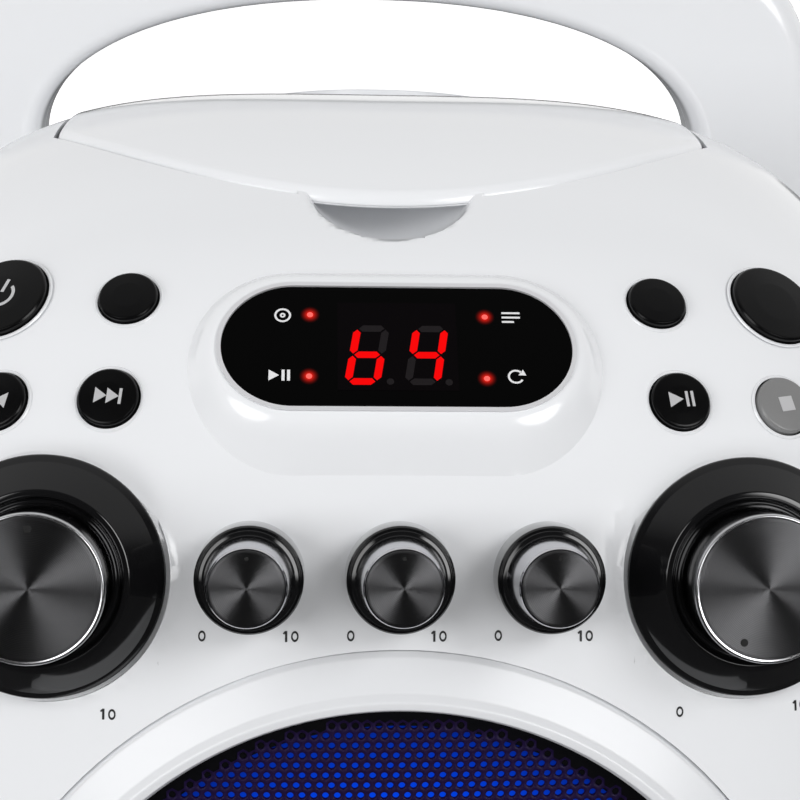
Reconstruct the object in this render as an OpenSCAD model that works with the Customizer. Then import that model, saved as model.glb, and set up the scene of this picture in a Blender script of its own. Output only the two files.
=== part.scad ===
// Karaoke machine with a top-loading disc lid, a front speaker and a carrying hoop.
// Front faces -Y, right hand is +X, the floor is z = 0. Millimetres.

/* [Body] */
// Widest part of the domed body
body_w = 264; // [250:1:280]
// Wall of the housings
wall = 2.6; // [2:0.1:3.2]
// Height of the flat underside above the floor
foot_h = 6; // [4:0.5:9]
// How full the dome stays towards its sides
fullness = 3.6; // [3:0.1:4.5]
// Profile radius of the speaker front
front_r = 623; // [560:1:700]
// Profile radius of the control panel
panel_r = 122; // [116:1:128]
// Profile radius of the lid's front half
deck_r = 200; // [180:1:220]
// Profile radius of the lid's rear half
crown_r = 120; // [112:1:128]
// Profile radius of the lower front edge
base_r = 36; // [30:1:40]
// Depth of the knob row behind the middle of the body, counted forwards
knob_row_y = 96.8; // [95:0.1:98.6]
// Height of the knob row
knob_row_z = 202; // [198:0.5:206]

/* [Hoop] */
// Width of the rear hoop
hoop_w = 280; // [262:1:286]
// Top of the hoop, which is the carrying handle
hoop_top = 318; // [312:1:326]
// Front face of the hoop
hoop_front_y = 99.2; // [98.6:0.1:101]
// Depth of the hoop
hoop_d = 24; // [22:0.5:28]
// Rounding of the hoop's edges
hoop_round = 9; // [6:0.5:10]
// Half width of the hand opening
hand_half_w = 100; // [90:1:104]
// Top of the hand opening
hand_top = 296; // [290:1:298]
// Flat sill of the hand opening
hand_sill = 252; // [250:0.5:254]

/* [Speaker] */
// Place of the speaker's centre on the profile, in degrees
speaker_e = 8.2; // [7.5:0.1:9]
// Radius of the grille opening
grille_r = 75; // [70:0.5:78]
// Width of the trim ring
ring_w = 12.5; // [10:0.5:14]
// Depth of the ring's seat below the surface
ring_seat = 14; // [13:0.5:16]
// Thickness of the grille
grille_t = 1.2; // [0.8:0.1:1.8]
// Radius of the driver's flange
driver_r = 66; // [62:0.5:68]
// Depth of the driver behind its flange
driver_d = 46; // [40:1:56]
// Radius of the magnet
magnet_r = 35; // [30:0.5:40]

/* [Lid and disc] */
// Width of the lid
lid_w = 160; // [154:1:166]
// Radius of the lid's front edge
lid_front_r = 98; // [94:1:104]
// Front edge of the lid, in front of the middle of the body
lid_front_y = 33; // [31:0.2:35]
// Rear edge of the lid
lid_rear_y = 96.7; // [95.9:0.1:97]
// Thickness of the lid
lid_t = 3; // [2.4:0.1:3.4]
// How far the lid stands proud of the body
lid_proud = 0.8; // [0.4:0.1:1.2]
// Gap round the lid
lid_gap = 0.6; // [0.4:0.1:1]
// Middle of the disc behind the middle of the body
disc_y = 33.2; // [32.4:0.2:34]
// Radius of the disc recess
disc_r = 62.2; // [61:0.1:62.4]
// Height of the tray floor
tray_z = 246; // [244:0.5:247]
// Depth of the disc recess below the tray floor
disc_sink = 3.5; // [3:0.1:4.5]
// Depth of the hinge pins below the body's surface
hinge_drop = 1.3; // [1:0.1:2]
// Radius of the hinge pins
hinge_pin_r = 1.25; // [1:0.05:1.5]
// Radius of the finger scoop in front of the lid
scoop_r = 20.5; // [18:0.5:22]

/* [Knobs] */
// Slope of the knobs' axes, in degrees
knob_e = 16.5; // [15:0.5:24.5]
// Spacing of the three small knobs
small_pitch = 29.1; // [28:0.1:32]
// Radius of a small knob at the panel
small_r = 10.7; // [9.5:0.1:11.5]
// Radius of a small knob's cap
small_cap_r = 7.1; // [6:0.1:7.6]
// Height of a small knob's drum
drum_h = 7.4; // [6:0.2:8]
// Height of a small knob
small_h = 17; // [15:0.5:19]
// Distance of a large knob from the middle
large_x = 69.5; // [66:0.1:72]
// Radius of a large knob's flange
large_r = 24; // [22:0.25:26]
// Radius of a large knob's barrel
large_barrel_r = 15; // [13:0.25:17]
// Radius of a large knob's cap
large_cap_r = 13.6; // [12:0.1:14]
// Height of a large knob
large_h = 17; // [15:0.5:20]
// Radius of the potentiometer shafts
shaft_r = 3; // [2.5:0.1:3.2]
// Height of the large knobs' seats at their middle
seat_h = 1.2; // [0.8:0.1:2]
// Gap between a knob and the panel
knob_gap = 0.8; // [0.5:0.1:1.2]
// Depth from the panel to the face of the potentiometer board
pot_board_depth = 15; // [14:0.5:18]

/* [Buttons] */
// Radius of a small button
button_r = 6.2; // [5.5:0.1:6.6]
// Radius of a large button
big_button_r = 9.9; // [9:0.1:10.5]
// Height of a button above the panel
button_h = 1.8; // [1.2:0.1:2.6]
// Gap round a button
button_gap = 0.35; // [0.3:0.05:0.5]
// Travel of a button
button_travel = 1; // [0.8:0.1:1.2]
// Depth from the panel to the button board
button_board_depth = 15; // [14:0.5:18]

/* [Display] */
// Place of the display on the profile, in degrees
pod_e = 46; // [45:0.5:47]
// Height of the display's face above the panel
pod_rise = 3.4; // [3:0.1:4]
// Extra tilt of the display's face
pod_tilt = 4.5; // [3:0.5:6]
// Half width of the window
window_hw = 35.8; // [34:0.1:37]
// Half height of the window
window_hh = 14.7; // [14:0.1:15.5]
// Thickness of the window
window_t = 1.5; // [1.2:0.1:1.6]
// Width of the bright trim round the window
trim_w = 0.9; // [0.6:0.1:1.2]

/* [Rear connections] */
// Radius of a microphone jack's bore
jack_r = 3.25; // [3.2:0.05:3.4]
// Depth of a microphone jack's bore
jack_depth = 30; // [26:1:34]
// Height of the row of connections
jack_z = 84; // [70:1:100]

/* [Hidden] */
base_clear = 8;
back_y = 116.2;
centre_y = 3.2;
centre_z = 150;
lean_low = 2;
lean_front = 16;
lean_deck = 67;
lean_crown = 76;
crown_end = 129;
row_e = 24.5;
ring_steps = 11;
board_t = 1.6;
fit_gap = 0.05;
$fn = 48;

// Profile of the body in the plane x = 0: arcs given by the slope angle of the surface
function lean_dir(e) = [-cos(e), sin(e)];
panel_c = [-knob_row_y, knob_row_z] - panel_r * lean_dir(row_e);
front_c = panel_c + (panel_r - front_r) * lean_dir(lean_front);
deck_c = panel_c + (panel_r - deck_r) * lean_dir(lean_deck);
crown_c = deck_c + (deck_r - crown_r) * lean_dir(lean_crown);
base_c = front_c + (front_r - base_r) * lean_dir(lean_low);

function profile_point(e, inset = 0) =
    e < lean_low ? base_c + (base_r - inset) * lean_dir(e) :
    e < lean_front ? front_c + (front_r - inset) * lean_dir(e) :
    e < lean_deck ? panel_c + (panel_r - inset) * lean_dir(e) :
    e < lean_crown ? deck_c + (deck_r - inset) * lean_dir(e) :
    crown_c + (crown_r - inset) * lean_dir(e);
// Height at which the round crown ends and the straight rear slope begins
crown_low = profile_point(crown_end)[1];

function steps(from, to, count) = [for (i = [0 : count - 1]) from + (to - from) * i / count];

function back_arc(inset) = [for (i = [0 : 5])
    [back_y - base_r, base_c[1]] + (base_r - inset) * [cos(i * 18), -sin(i * 18)]];

function profile(inset) = concat(
    [for (e = steps(-90, lean_low, 6)) profile_point(e, inset)],
    [for (e = steps(lean_low, lean_front, 5)) profile_point(e, inset)],
    [for (e = steps(lean_front, lean_deck, 10)) profile_point(e, inset)],
    [for (e = steps(lean_deck, lean_crown, 3)) profile_point(e, inset)],
    [for (e = steps(lean_crown, crown_end, 8)) profile_point(e, inset)],
    [[back_y - inset - 6, crown_low - 12.5 - inset], [back_y - inset, crown_low - 22.5 - inset]],
    back_arc(inset));

// The share of its full size that the profile keeps at a share u of the half width
function keep(u) = pow(1 - pow(min(abs(u), 1), fullness), 1 / fullness);

function body_point(x, e) =
    let (k = keep(x / (body_w / 2)), p = profile_point(e))
    [x, centre_y + k * (p[0] - centre_y), centre_z + k * (p[1] - centre_z)];

function unit(v) = v / norm(v);
function body_normal(x, e) =
    unit(cross(body_point(x + 0.01, e) - body_point(x - 0.01, e),
        body_point(x, e + 0.01) - body_point(x, e - 0.01)));
function azimuth(n) = atan2(n[0], -n[1]);
function elevation(n) = asin(n[2]);

// Puts its children on the panel, with their z axis along the surface's normal
module on_panel(x, e) {
    n = body_normal(x, e);
    translate(body_point(x, e)) rotate([0, 0, azimuth(n)]) rotate([90 - elevation(n), 0, 0]) children();
}

// On the knob row, facing straight ahead and a little steeper than the panel; the small knobs share one plane
module on_row(x) {
    p = body_point(abs(x) > 2 * small_pitch ? x : 0, row_e);
    translate([x, p[1], p[2]]) rotate([90 - knob_e, 0, 0]) children();
}

// The closed dome of the body, made smaller by inset
module dome(inset) {
    outline = profile(inset);
    count = len(outline);
    half = body_w / 2 - inset;
    turns = [for (i = [1 - ring_steps : ring_steps - 1]) i * 90 / ring_steps];
    low = foot_h + inset;
    rings = [for (t = turns) let (u = sign(t) * pow(abs(sin(t)), 2 / fullness), k = keep(u))
        [for (p = outline) [u * half, centre_y + k * (p[0] - centre_y),
            max(low, centre_z + k * (p[1] - centre_z))]]];
    points = concat([[-half, centre_y, centre_z]], [for (r = rings) for (p = r) p],
        [[half, centre_y, centre_z]]);
    last = len(points) - 1;
    sides = [for (r = [0 : len(rings) - 2]) for (i = [0 : count - 1])
        let (a = 1 + r * count + i, b = 1 + r * count + (i + 1) % count)
        each [[a, b, b + count], [a, b + count, a + count]]];
    left_end = [for (i = [0 : count - 1]) [0, 1 + (i + 1) % count, 1 + i]];
    right_start = last - count;
    right_end = [for (i = [0 : count - 1]) [last, right_start + i, right_start + (i + 1) % count]];
    polyhedron(points, concat(left_end, sides, right_end));
}

function hoop_half() = (hoop_top - foot_h) / 2;
function hoop_mid() = (hoop_top + foot_h) / 2;
function power_part(v, p) = sign(v) * pow(abs(v), p);

// The flat ring of points of the hoop's outline, made smaller by inset
function hoop_outline(inset) = [for (i = [0 : 47]) let (t = i * 7.5 + 3.75)
    [(hoop_w / 2 - inset) * power_part(cos(t), 1 / 3),
    hoop_mid() + (hoop_half() - inset) * power_part(sin(t), 1 / 3)]];

// The rear slab of the body with rounded edges; its upper part is the handle
module hoop(inset) {
    front = hoop_front_y + inset;
    back = hoop_front_y + hoop_d - inset;
    r = max(hoop_round - inset, 1);
    levels = [[front, r], [front + 0.3 * r, 0.3 * r], [front + r, 0],
        [back - r, 0], [back - 0.3 * r, 0.3 * r], [back, r]];
    rings = [for (l = levels) [for (p = hoop_outline(inset + l[1])) [p[0], l[0], p[1]]]];
    count = len(rings[0]);
    points = [for (r = rings) for (p = r) p];
    top = (len(rings) - 1) * count;
    sides = [for (r = [0 : len(rings) - 2]) for (i = [0 : count - 1])
        let (a = r * count + i, b = r * count + (i + 1) % count)
        each [[a, b + count, a + count], [a, b, b + count]]];
    polyhedron(points, concat([[for (i = [count - 1 : -1 : 0]) i]],
        sides, [[for (i = [0 : count - 1]) top + i]]));
}

// The hand opening, grown by grow, cut along Y
module hand_opening(grow) {
    low = hand_sill - grow;
    half = hand_top - low + grow;
    translate([0, hoop_front_y + hoop_d + 10, 0]) rotate([90, 0, 0])
        linear_extrude(hoop_d + 40 - 22)
            polygon([for (i = [0 : 24]) let (t = i * 7.5)
                [(hand_half_w + grow) * cos(t), low + half * power_part(sin(t), 1)]]);
}

// Outline of the lid seen from above, grown by grow
module lid_outline(grow) {
    intersection() {
        translate([0, lid_front_r - lid_front_y]) circle(lid_front_r + grow, $fn = 96);
        translate([-lid_w / 2 - grow, -lid_front_y - 10])
            square([lid_w + 2 * grow, lid_rear_y + lid_front_y + 10 + grow]);
    }
}

module lid_prism(grow, low, high) {
    translate([0, 0, low]) linear_extrude(high - low) lid_outline(grow);
}

// Speaker frame of reference: z points out of the grille
module on_speaker() {
    translate(body_point(0, speaker_e)) rotate([90 - speaker_e, 0, 0]) children();
}

// Display frame of reference: the middle of the window, z points out of it
module on_display() {
    p = profile_point(pod_e) + pod_rise * lean_dir(pod_e);
    translate([0, p[0], p[1]]) rotate([90 - pod_e - pod_tilt, 0, 0]) children();
}

module stadium(hw, hh) {
    hull() {
        translate([-(hw - hh), 0]) circle(hh);
        translate([hw - hh, 0]) circle(hh);
    }
}

// A stadium of true arcs
module true_stadium(hw, hh) {
    union() {
        translate([-(hw - hh), 0]) circle(hh);
        translate([hw - hh, 0]) circle(hh);
        translate([-(hw - hh), -hh]) square([2 * (hw - hh), 2 * hh]);
    }
}

ring_r = grille_r + ring_w;
scoop_pos = [0, 0.8 - lid_front_y, 273.6];
display_hole = [62, 24];
board_size = [72, 27];
hinge_y = lid_rear_y - 1.5;
// Height of the body's surface in its middle plane, above a place y
function height_at(y, low = lean_front, high = 130, n = 24) =
    let (mid = (low + high) / 2)
    n == 0 ? profile_point(mid)[1] :
    profile_point(mid)[0] < y ? height_at(y, mid, high, n - 1) : height_at(y, low, mid, n - 1);
hinge_pos = [hinge_y, height_at(hinge_y) - hinge_drop];
hinge_x = [46, 52.3];
post_x = [53, 59];
knuckle_r = 2.6;
small_xs = [-small_pitch, 0, small_pitch];
large_xs = [-large_x, large_x];
bushing_r = shaft_r + 0.7;
shaft_l = pot_board_depth - 4 + knob_gap;

// Buttons: place across, place on the profile, radius
buttons = [
    [-82.5, 54.7, big_button_r],
    [-55.6, 52.7, button_r],
    [-81, 42.1, button_r],
    [-58.2, 41.5, button_r],
    [55.6, 52.7, button_r],
    [82.5, 54.7, big_button_r],
    [58.2, 41.5, button_r],
    [81, 42.1, button_r]];

function button_pos(b) = body_point(b[0], b[1]);
function mean4(a, b, c, d) = (a + b + c + d) / 4;
function board_mid(s) = mean4(button_pos(buttons[s]), button_pos(buttons[s + 1]),
    button_pos(buttons[s + 2]), button_pos(buttons[s + 3]));
function board_normal(s) = unit(mean4(
    body_normal(buttons[s][0], buttons[s][1]), body_normal(buttons[s + 1][0], buttons[s + 1][1]),
    body_normal(buttons[s + 2][0], buttons[s + 2][1]), body_normal(buttons[s + 3][0], buttons[s + 3][1])));

// Depth of a button board below a button, along the button's own axis
function stem_depth(i) =
    let (s = i < 4 ? 0 : 4, b = buttons[i], n = board_normal(s), m = body_normal(b[0], b[1]))
    ((button_pos(b) - board_mid(s)) * n + button_board_depth) / (m * n);

switch_h = 4;
button_flange = 1.2;

module on_button_board(s) {
    n = board_normal(s);
    translate(board_mid(s) - button_board_depth * n)
        rotate([0, 0, azimuth(n)]) rotate([90 - elevation(n), 0, 0]) children();
}

screw_places = [[-119, 60], [119, 60], [-119, 150], [119, 150], [-116, 240], [116, 240], [0, 307]];
foot_places = [[-66, -74], [66, -74], [-66, 82], [66, 82]];
damper_places = [[-48, -30], [50, -30], [-48, 32], [50, 32]];
parting_y = hoop_front_y + hoop_d / 2;

// Everything of both housings that hollows the solid body
module body_hollow() {
    difference() {
        union() {
            dome(wall);
            hoop(wall);
        }
        hand_opening(wall);
    }
}

module body_shell() {
    difference() {
        union() {
            dome(0);
            hoop(0);
        }
        body_hollow();
        hand_opening(0);
    }
}

module front_half() {
    translate([-200, -200, 0]) cube([400, 200 + parting_y, 400]);
}

// Ribs, seats and bosses inside the front housing, trimmed to the dome
module front_inside() {
    intersection() {
        dome(1);
        union() {
            on_speaker() translate([0, 0, -ring_seat - 3]) cylinder(r = ring_r + 3.2, h = ring_seat + 3);
            for (s = [0, 4]) on_button_board(s) {
                translate([0, 1, board_t]) cylinder(r = 2.4, h = 20);
                translate([s == 0 ? 0.8 : -0.8, -14, board_t]) cylinder(r = 1.7, h = 20);
            }
            on_display() for (x = [-34, 34], y = [-9, 9])
                translate([x, y, -9]) cylinder(r = 2.2, h = 8);
            for (x = [-82, 82]) on_row(x) translate([0, 0, -pot_board_depth + board_t])
                cylinder(r = 3, h = pot_board_depth);
            translate(scoop_pos) sphere(scoop_r + 2.2);
        }
    }
}

// The wall of the finger scoop where it runs on below the lid
module scoop_wall() {
    intersection() {
        dome(lid_t - lid_proud + lid_gap);
        difference() {
            translate(scoop_pos) sphere(scoop_r + 2.2);
            translate(scoop_pos) sphere(scoop_r);
        }
        lid_prism(lid_gap + 1, tray_z, 300);
    }
}

module front_cuts() {
    lid_prism(lid_gap, tray_z - 10, 300);
    translate(scoop_pos) sphere(scoop_r);
    on_speaker() translate([0, 0, -ring_seat]) cylinder(r = ring_r + 0.2, h = 60);
    on_speaker() translate([0, 0, -60]) cylinder(r = driver_r - 6, h = 100);
    on_display() translate([-display_hole[0] / 2, -display_hole[1] / 2, -20])
        cube([display_hole[0], display_hole[1], 30]);
    for (x = concat(small_xs, large_xs)) on_row(x) translate([0, 0, -30])
        cylinder(r = bushing_r + fit_gap, h = 60);
    for (x = large_xs) on_row(x) translate([0, 0, seat_h]) cylinder(r = large_r + 0.8, h = 20);
    for (x = small_xs) on_row(x) translate([0, 0, seat_h]) cylinder(r = small_r + 0.6, h = 20);
    for (b = buttons) on_panel(b[0], b[1]) translate([0, 0, -14])
        cylinder(r = b[2] + button_gap, h = 40);
}

// Flat seats that the knobs stand on
module knob_seats() {
    for (x = large_xs) on_row(x) translate([0, 0, -8]) cylinder(r = large_r - 1, h = 8 + seat_h);
    for (x = small_xs) on_row(x) translate([0, 0, -8]) cylinder(r = small_r - 1, h = 8 + seat_h);
}

module front_housing() {
    color("white") union() {
        difference() {
            union() {
                intersection() {
                    body_shell();
                    front_half();
                }
                front_inside();
                difference() {
                    knob_seats();
                    dome(wall);
                }
                for (p = screw_places) translate([p[0], parting_y, p[1]]) rotate([90, 0, 0])
                    cylinder(r = 4, h = hoop_d / 2 - wall + 0.5);
            }
            front_cuts();
            for (p = screw_places) translate([p[0], parting_y + 1, p[1]]) rotate([90, 0, 0])
                cylinder(r = 1.4, h = hoop_d / 2 - wall);
        }
        scoop_wall();
    }
}

jack_xs = [-60, -40];
rca_xs = [-8, 8, 24];
inlet_x = 60;
plate_y = hoop_front_y + hoop_d;

module rear_housing() {
    color("white") difference() {
        union() {
            difference() {
                body_shell();
                front_half();
            }
            for (p = screw_places) translate([p[0], plate_y - 1, p[1]]) rotate([90, 0, 0])
                cylinder(r = 5.5, h = plate_y - 1 - parting_y);
        }
        for (p = screw_places) translate([p[0], plate_y + 1, p[1]]) rotate([90, 0, 0]) {
            cylinder(r = 1.7, h = 30);
            cylinder(r = 3.7, h = 8);
        }
        for (x = jack_xs) translate([x, plate_y + 1, jack_z]) rotate([90, 0, 0])
            cylinder(r = 6 + fit_gap, h = 8);
        for (x = rca_xs) translate([x, plate_y + 1, jack_z]) rotate([90, 0, 0])
            cylinder(r = 4.6 + fit_gap, h = 8);
        translate([inlet_x, plate_y + 1, jack_z]) rotate([90, 0, 0])
            cylinder(r = 5 + fit_gap, h = 8);
        for (x = [-70 : 7 : 70]) translate([x - 1.5, plate_y - 8, 150]) cube([3, 20, 44]);
    }
}

// Trim ring round the grille: a raised lip with a sloped outer face
module speaker_ring() {
    color("white") on_speaker() rotate_extrude($fn = 96) polygon([
        [grille_r, -ring_seat], [ring_r, -ring_seat], [ring_r, -6.2], [ring_r - 1.6, -4.4],
        [ring_r - 5, -2.6], [grille_r + 4.4, -1], [grille_r + 3, -0.9], [grille_r + 2, -1.6],
        [grille_r, -5.5]]);
}

module speaker_grille() {
    rim = grille_r - fit_gap;
    color([0.05, 0.05, 0.2]) on_speaker() rotate_extrude($fn = 96) polygon([
        [0, -4.4 - grille_t], [30, -4.9 - grille_t], [55, -6.2 - grille_t], [rim, -8.2 - grille_t],
        [rim, -8.2], [55, -6.2], [30, -4.9], [0, -4.4]]);
}

module light_diffuser() {
    color([0.8, 0.85, 1]) on_speaker() translate([0, 0, -10.8]) difference() {
        cylinder(r = grille_r - fit_gap, h = 1);
        translate([0, 0, -1]) cylinder(r = driver_r - 3, h = 3);
    }
}

module light_board() {
    color("white") on_speaker() translate([0, 0, -ring_seat]) difference() {
        cylinder(r = grille_r - fit_gap, h = board_t);
        translate([0, 0, -1]) cylinder(r = driver_r - 4, h = board_t + 2);
    }
}

module light_leds() {
    color([0.1, 0.3, 1]) on_speaker() for (a = [0 : 30 : 330]) rotate([0, 0, a])
        translate([(grille_r + driver_r - 4) / 2, 0, -ring_seat + board_t]) translate([-2.5, -2.5, 0])
            cube([5, 5, 1.2]);
}

module speaker_frame() {
    low = 8 - driver_d;
    color("black") on_speaker() translate([0, 0, -ring_seat - 3]) difference() {
        rotate_extrude($fn = 96) polygon([[13, low], [magnet_r + 2, low], [driver_r - 5.4, -2],
            [driver_r, -2], [driver_r, 0], [driver_r - 6.4, 0], [driver_r - 6.4, -2], [driver_r - 8, -2.4],
            [magnet_r, low + 2], [13, low + 2]]);
        for (a = [0 : 90 : 270]) rotate([0, 0, a + 45]) translate([driver_r - 3, 0, -3])
            cylinder(r = 2, h = 5);
    }
}

module speaker_surround() {
    color([0.1, 0.1, 0.1]) on_speaker() translate([0, 0, -ring_seat - 3]) rotate_extrude($fn = 96)
        polygon([[driver_r - 15, -1], [driver_r - 14, 1], [driver_r - 11.5, 2.4], [driver_r - 9, 1],
            [driver_r - 6.5, 0.1], [driver_r - 6.5, -1.9], [driver_r - 8.4, -1.9], [driver_r - 9.5, 0],
            [driver_r - 11.5, 1.2], [driver_r - 13.4, 0], [driver_r - 14.2, -2]]);
}

module speaker_cone() {
    color([0.15, 0.15, 0.15]) on_speaker() translate([0, 0, -ring_seat - 3]) rotate_extrude($fn = 96)
        polygon([[12, -24], [13.2, -24], [driver_r - 15.2, -2.2], [driver_r - 15.2, -1], [12.8, -22.4],
            [12.8, -21], [12, -21]]);
}

module dust_cap() {
    color([0.1, 0.1, 0.1]) on_speaker() translate([0, 0, -ring_seat - 3]) rotate_extrude($fn = 64)
        polygon([[0, -15.5], [6, -16.5], [10, -18.6], [12.6, -21.0], [12, -21], [9.4, -19.6],
            [5.6, -17.6], [0, -16.5]]);
}

module speaker_magnet() {
    color([0.3, 0.3, 0.32]) on_speaker() translate([0, 0, -ring_seat - 3 + 8 - driver_d]) {
        difference() {
            translate([0, 0, -14]) cylinder(r = magnet_r, h = 14);
            translate([0, 0, -5]) cylinder(r = 13, h = 6);
        }
        translate([0, 0, -5]) cylinder(r = 11.6, h = 16);
    }
}

module display_surround() {
    color("white") difference() {
        on_display() hull() {
            translate([0, 0, -0.6]) linear_extrude(0.6) stadium(window_hw + 2.1, window_hh + 2.1);
            translate([0, -2.5, -7.6]) rotate([6, 0, 0]) linear_extrude(0.2) stadium(45, 24);
        }
        dome(-fit_gap);
        on_display() translate([0, 0, -window_t]) linear_extrude(5) true_stadium(window_hw, window_hh);
        on_display() translate([-display_hole[0] / 2 + 0.5, -display_hole[1] / 2 + 0.5, -20])
            cube([display_hole[0] - 1, display_hole[1] - 1, 30]);
    }
}

module display_window() {
    color([0.02, 0.02, 0.02]) on_display() translate([0, 0, fit_gap - window_t])
        linear_extrude(window_t) true_stadium(window_hw - 0.1, window_hh - 0.1);
}

module window_trim() {
    color("silver") on_display() linear_extrude(0.5) difference() {
        true_stadium(window_hw + trim_w, window_hh + trim_w);
        true_stadium(window_hw, window_hh);
    }
}

module digit_display() {
    color([0.1, 0.1, 0.1]) on_display() translate([-12.5, -9.5, -9.1]) cube([25, 19, 7.3]);
}

led_places = [[-17.8, 6.6], [18.2, 6.6], [-17.8, -6.6], [18.2, -6.6]];

module indicator_leds() {
    color("red") on_display() for (p = led_places) translate([p[0], p[1], -9.1]) cylinder(r = 1.5, h = 7.3);
}

module display_board() {
    color([0.1, 0.35, 0.15]) on_display() translate([-board_size[0] / 2, -board_size[1] / 2, -9.1 - board_t])
        cube([board_size[0], board_size[1], board_t]);
}

module lid_knuckle(x) {
    translate([x, hinge_pos[0], hinge_pos[1]]) rotate([0, 90, 0])
        cylinder(r = knuckle_r, h = hinge_x[1] - hinge_x[0]);
    translate([x, hinge_pos[0] - 7, hinge_pos[1] - 1.2]) cube([hinge_x[1] - hinge_x[0], 7, 2.6]);
}

// The lid follows the dome, stands a little proud and has a stiffening rib inside
module disc_lid() {
    color("white") difference() {
        union() {
            intersection() {
                difference() {
                    dome(-lid_proud);
                    dome(lid_t - lid_proud);
                }
                lid_prism(0, tray_z + 2, 300);
            }
            for (x = [hinge_x[0], -hinge_x[1]]) lid_knuckle(x);
            intersection() {
                dome(0.4);
                difference() {
                    translate([0, disc_y, tray_z + 4]) cylinder(r = 34, h = 40);
                    translate([0, disc_y, tray_z + 2]) cylinder(r = 32, h = 50);
                    translate([-40, disc_y - 40, tray_z]) cube([80, 80, 16]);
                }
            }
        }
        for (x = [post_x[0] - 0.4, -post_x[1] - 0.4]) translate([x, hinge_pos[0] - 4.4, tray_z])
            cube([post_x[1] - post_x[0] + 0.8, 12, 30]);
        translate([-lid_w / 2, hinge_pos[0], hinge_pos[1]]) rotate([0, 90, 0])
            cylinder(r = hinge_pin_r + fit_gap, h = lid_w);
    }
}

module hinge_pins() {
    color("silver") for (x = [hinge_x[0], -post_x[1]]) translate([x, hinge_pos[0], hinge_pos[1]])
        rotate([0, 90, 0]) cylinder(r = hinge_pin_r, h = post_x[1] - hinge_x[0]);
}

module lid_switch() {
    color("black") translate([64, lid_rear_y - 14.5, tray_z]) {
        cube([7, 5, 5]);
        translate([3.5, 2.5, 4]) cylinder(r = 1, h = 2.5);
    }
}

slot_x = [12.5, 66.5];
slot_hw = 12;

// The tray under the lid, with the round recess for the disc and the posts of the hinge
module disc_tray() {
    floor_z = tray_z - disc_sink;
    color([0.9, 0.9, 0.9]) difference() {
        union() {
            intersection() {
                dome(wall + fit_gap);
                difference() {
                    lid_prism(2.6, floor_z - 2.4, 300);
                    lid_prism(0.5, tray_z, 310);
                }
            }
            for (x = [post_x[0], -post_x[1]]) translate([x, hinge_pos[0] - 3.4, tray_z - 1])
                cube([post_x[1] - post_x[0], 4.6, hinge_pos[1] - tray_z + 3]);
        }
        translate(scoop_pos) sphere(scoop_r + 2.4);
        translate([0, disc_y, floor_z]) cylinder(r = disc_r, h = 40);
        translate([0, disc_y, floor_z - 10]) cylinder(r = 14.5, h = 20);
        translate([slot_x[0], disc_y - slot_hw, floor_z - 10]) cube([slot_x[1] - slot_x[0], 2 * slot_hw, 20]);
        translate([-lid_w / 2, hinge_pos[0], hinge_pos[1]]) rotate([0, 90, 0])
            cylinder(r = hinge_pin_r, h = lid_w);
    }
}

disc_plane = tray_z - disc_sink + 1.8;

module turntable() {
    color([0.15, 0.15, 0.15]) translate([0, disc_y, 0]) difference() {
        union() {
            translate([0, 0, disc_plane - 3]) cylinder(r = 13, h = 3);
            translate([0, 0, disc_plane]) cylinder(r = 7.4, h = 3);
            translate([0, 0, disc_plane + 3]) cylinder(r1 = 7.4, r2 = 5.4, h = 1.6);
            for (a = [0 : 120 : 240]) rotate([0, 0, a]) translate([6.6, 0, disc_plane + 1.6]) sphere(1.3);
        }
        translate([0, 0, disc_plane - 4]) cylinder(r = 1 + fit_gap, h = 6);
    }
}

plate_z = tray_z - disc_sink - 2.4 - 3.6;

module spindle_motor() {
    color("silver") translate([0, disc_y, 0]) {
        translate([0, 0, plate_z - 10]) cylinder(r = 11, h = 10);
        translate([0, 0, plate_z - 0.5]) cylinder(r = 3, h = 3);
        translate([0, 0, plate_z]) cylinder(r = 1, h = disc_plane - plate_z);
    }
}

rail_z = plate_z - 4;
rail_y = [-20, 20];
rail_x = [10, 70];

// Steel plate that carries motor, rails and gears, hung from the tray on dampers
module mechanism_plate() {
    color([0.75, 0.76, 0.78]) translate([0, disc_y, 0]) difference() {
        union() {
            translate([-56, -42, plate_z]) cube([132, 82, 1.6]);
            for (x = rail_x, y = rail_y) translate([x - 2, y - 2.6, rail_z - 2.3])
                cube([4, 5.2, plate_z - rail_z + 3]);
        }
        translate([0, 0, plate_z - 1]) cylinder(r = 3.4, h = 4);
        translate([14, -14, plate_z - 1]) cube([54, 28, 4]);
        for (y = rail_y) translate([0, y, rail_z]) rotate([0, 90, 0]) cylinder(r = 1.5, h = 90);
        translate([gear_pos[0], gear_pos[1], plate_z - 1]) cylinder(r = 1.5, h = 4);
    }
}

module rubber_dampers() {
    color("black") for (p = damper_places) translate([p[0], disc_y + p[1], plate_z + board_t])
        cylinder(r = 4, h = 2);
}

rack_m = 0.8;
pinion_teeth = 15;
gear_pos = [30, -28.5];
rack_y = gear_pos[1] + rack_m * pinion_teeth / 2;
gear_m = 0.5;
wheel_teeth = 40;
driver_teeth = 10;
driver_pos = [gear_pos[0] - gear_m * (wheel_teeth + driver_teeth) / 2, gear_pos[1]];
rack_z = [rail_z - 5.6, rail_z - 2.8];

// Straight-sided gear tooth outline: root, flank and tip points of every tooth
module gear_outline(m, teeth, turn) {
    rp = m * teeth / 2;
    step = 360 / teeth;
    polygon([for (i = [0 : teeth - 1]) each [
        for (s = [[-0.36, -1.15], [-0.21, 0], [-0.1, 0.7], [0.1, 0.7], [0.21, 0], [0.36, -1.15]])
        let (a = (i + s[0]) * step + turn, r = rp + s[1] * m) [r * cos(a), r * sin(a)]]]);
}

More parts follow.
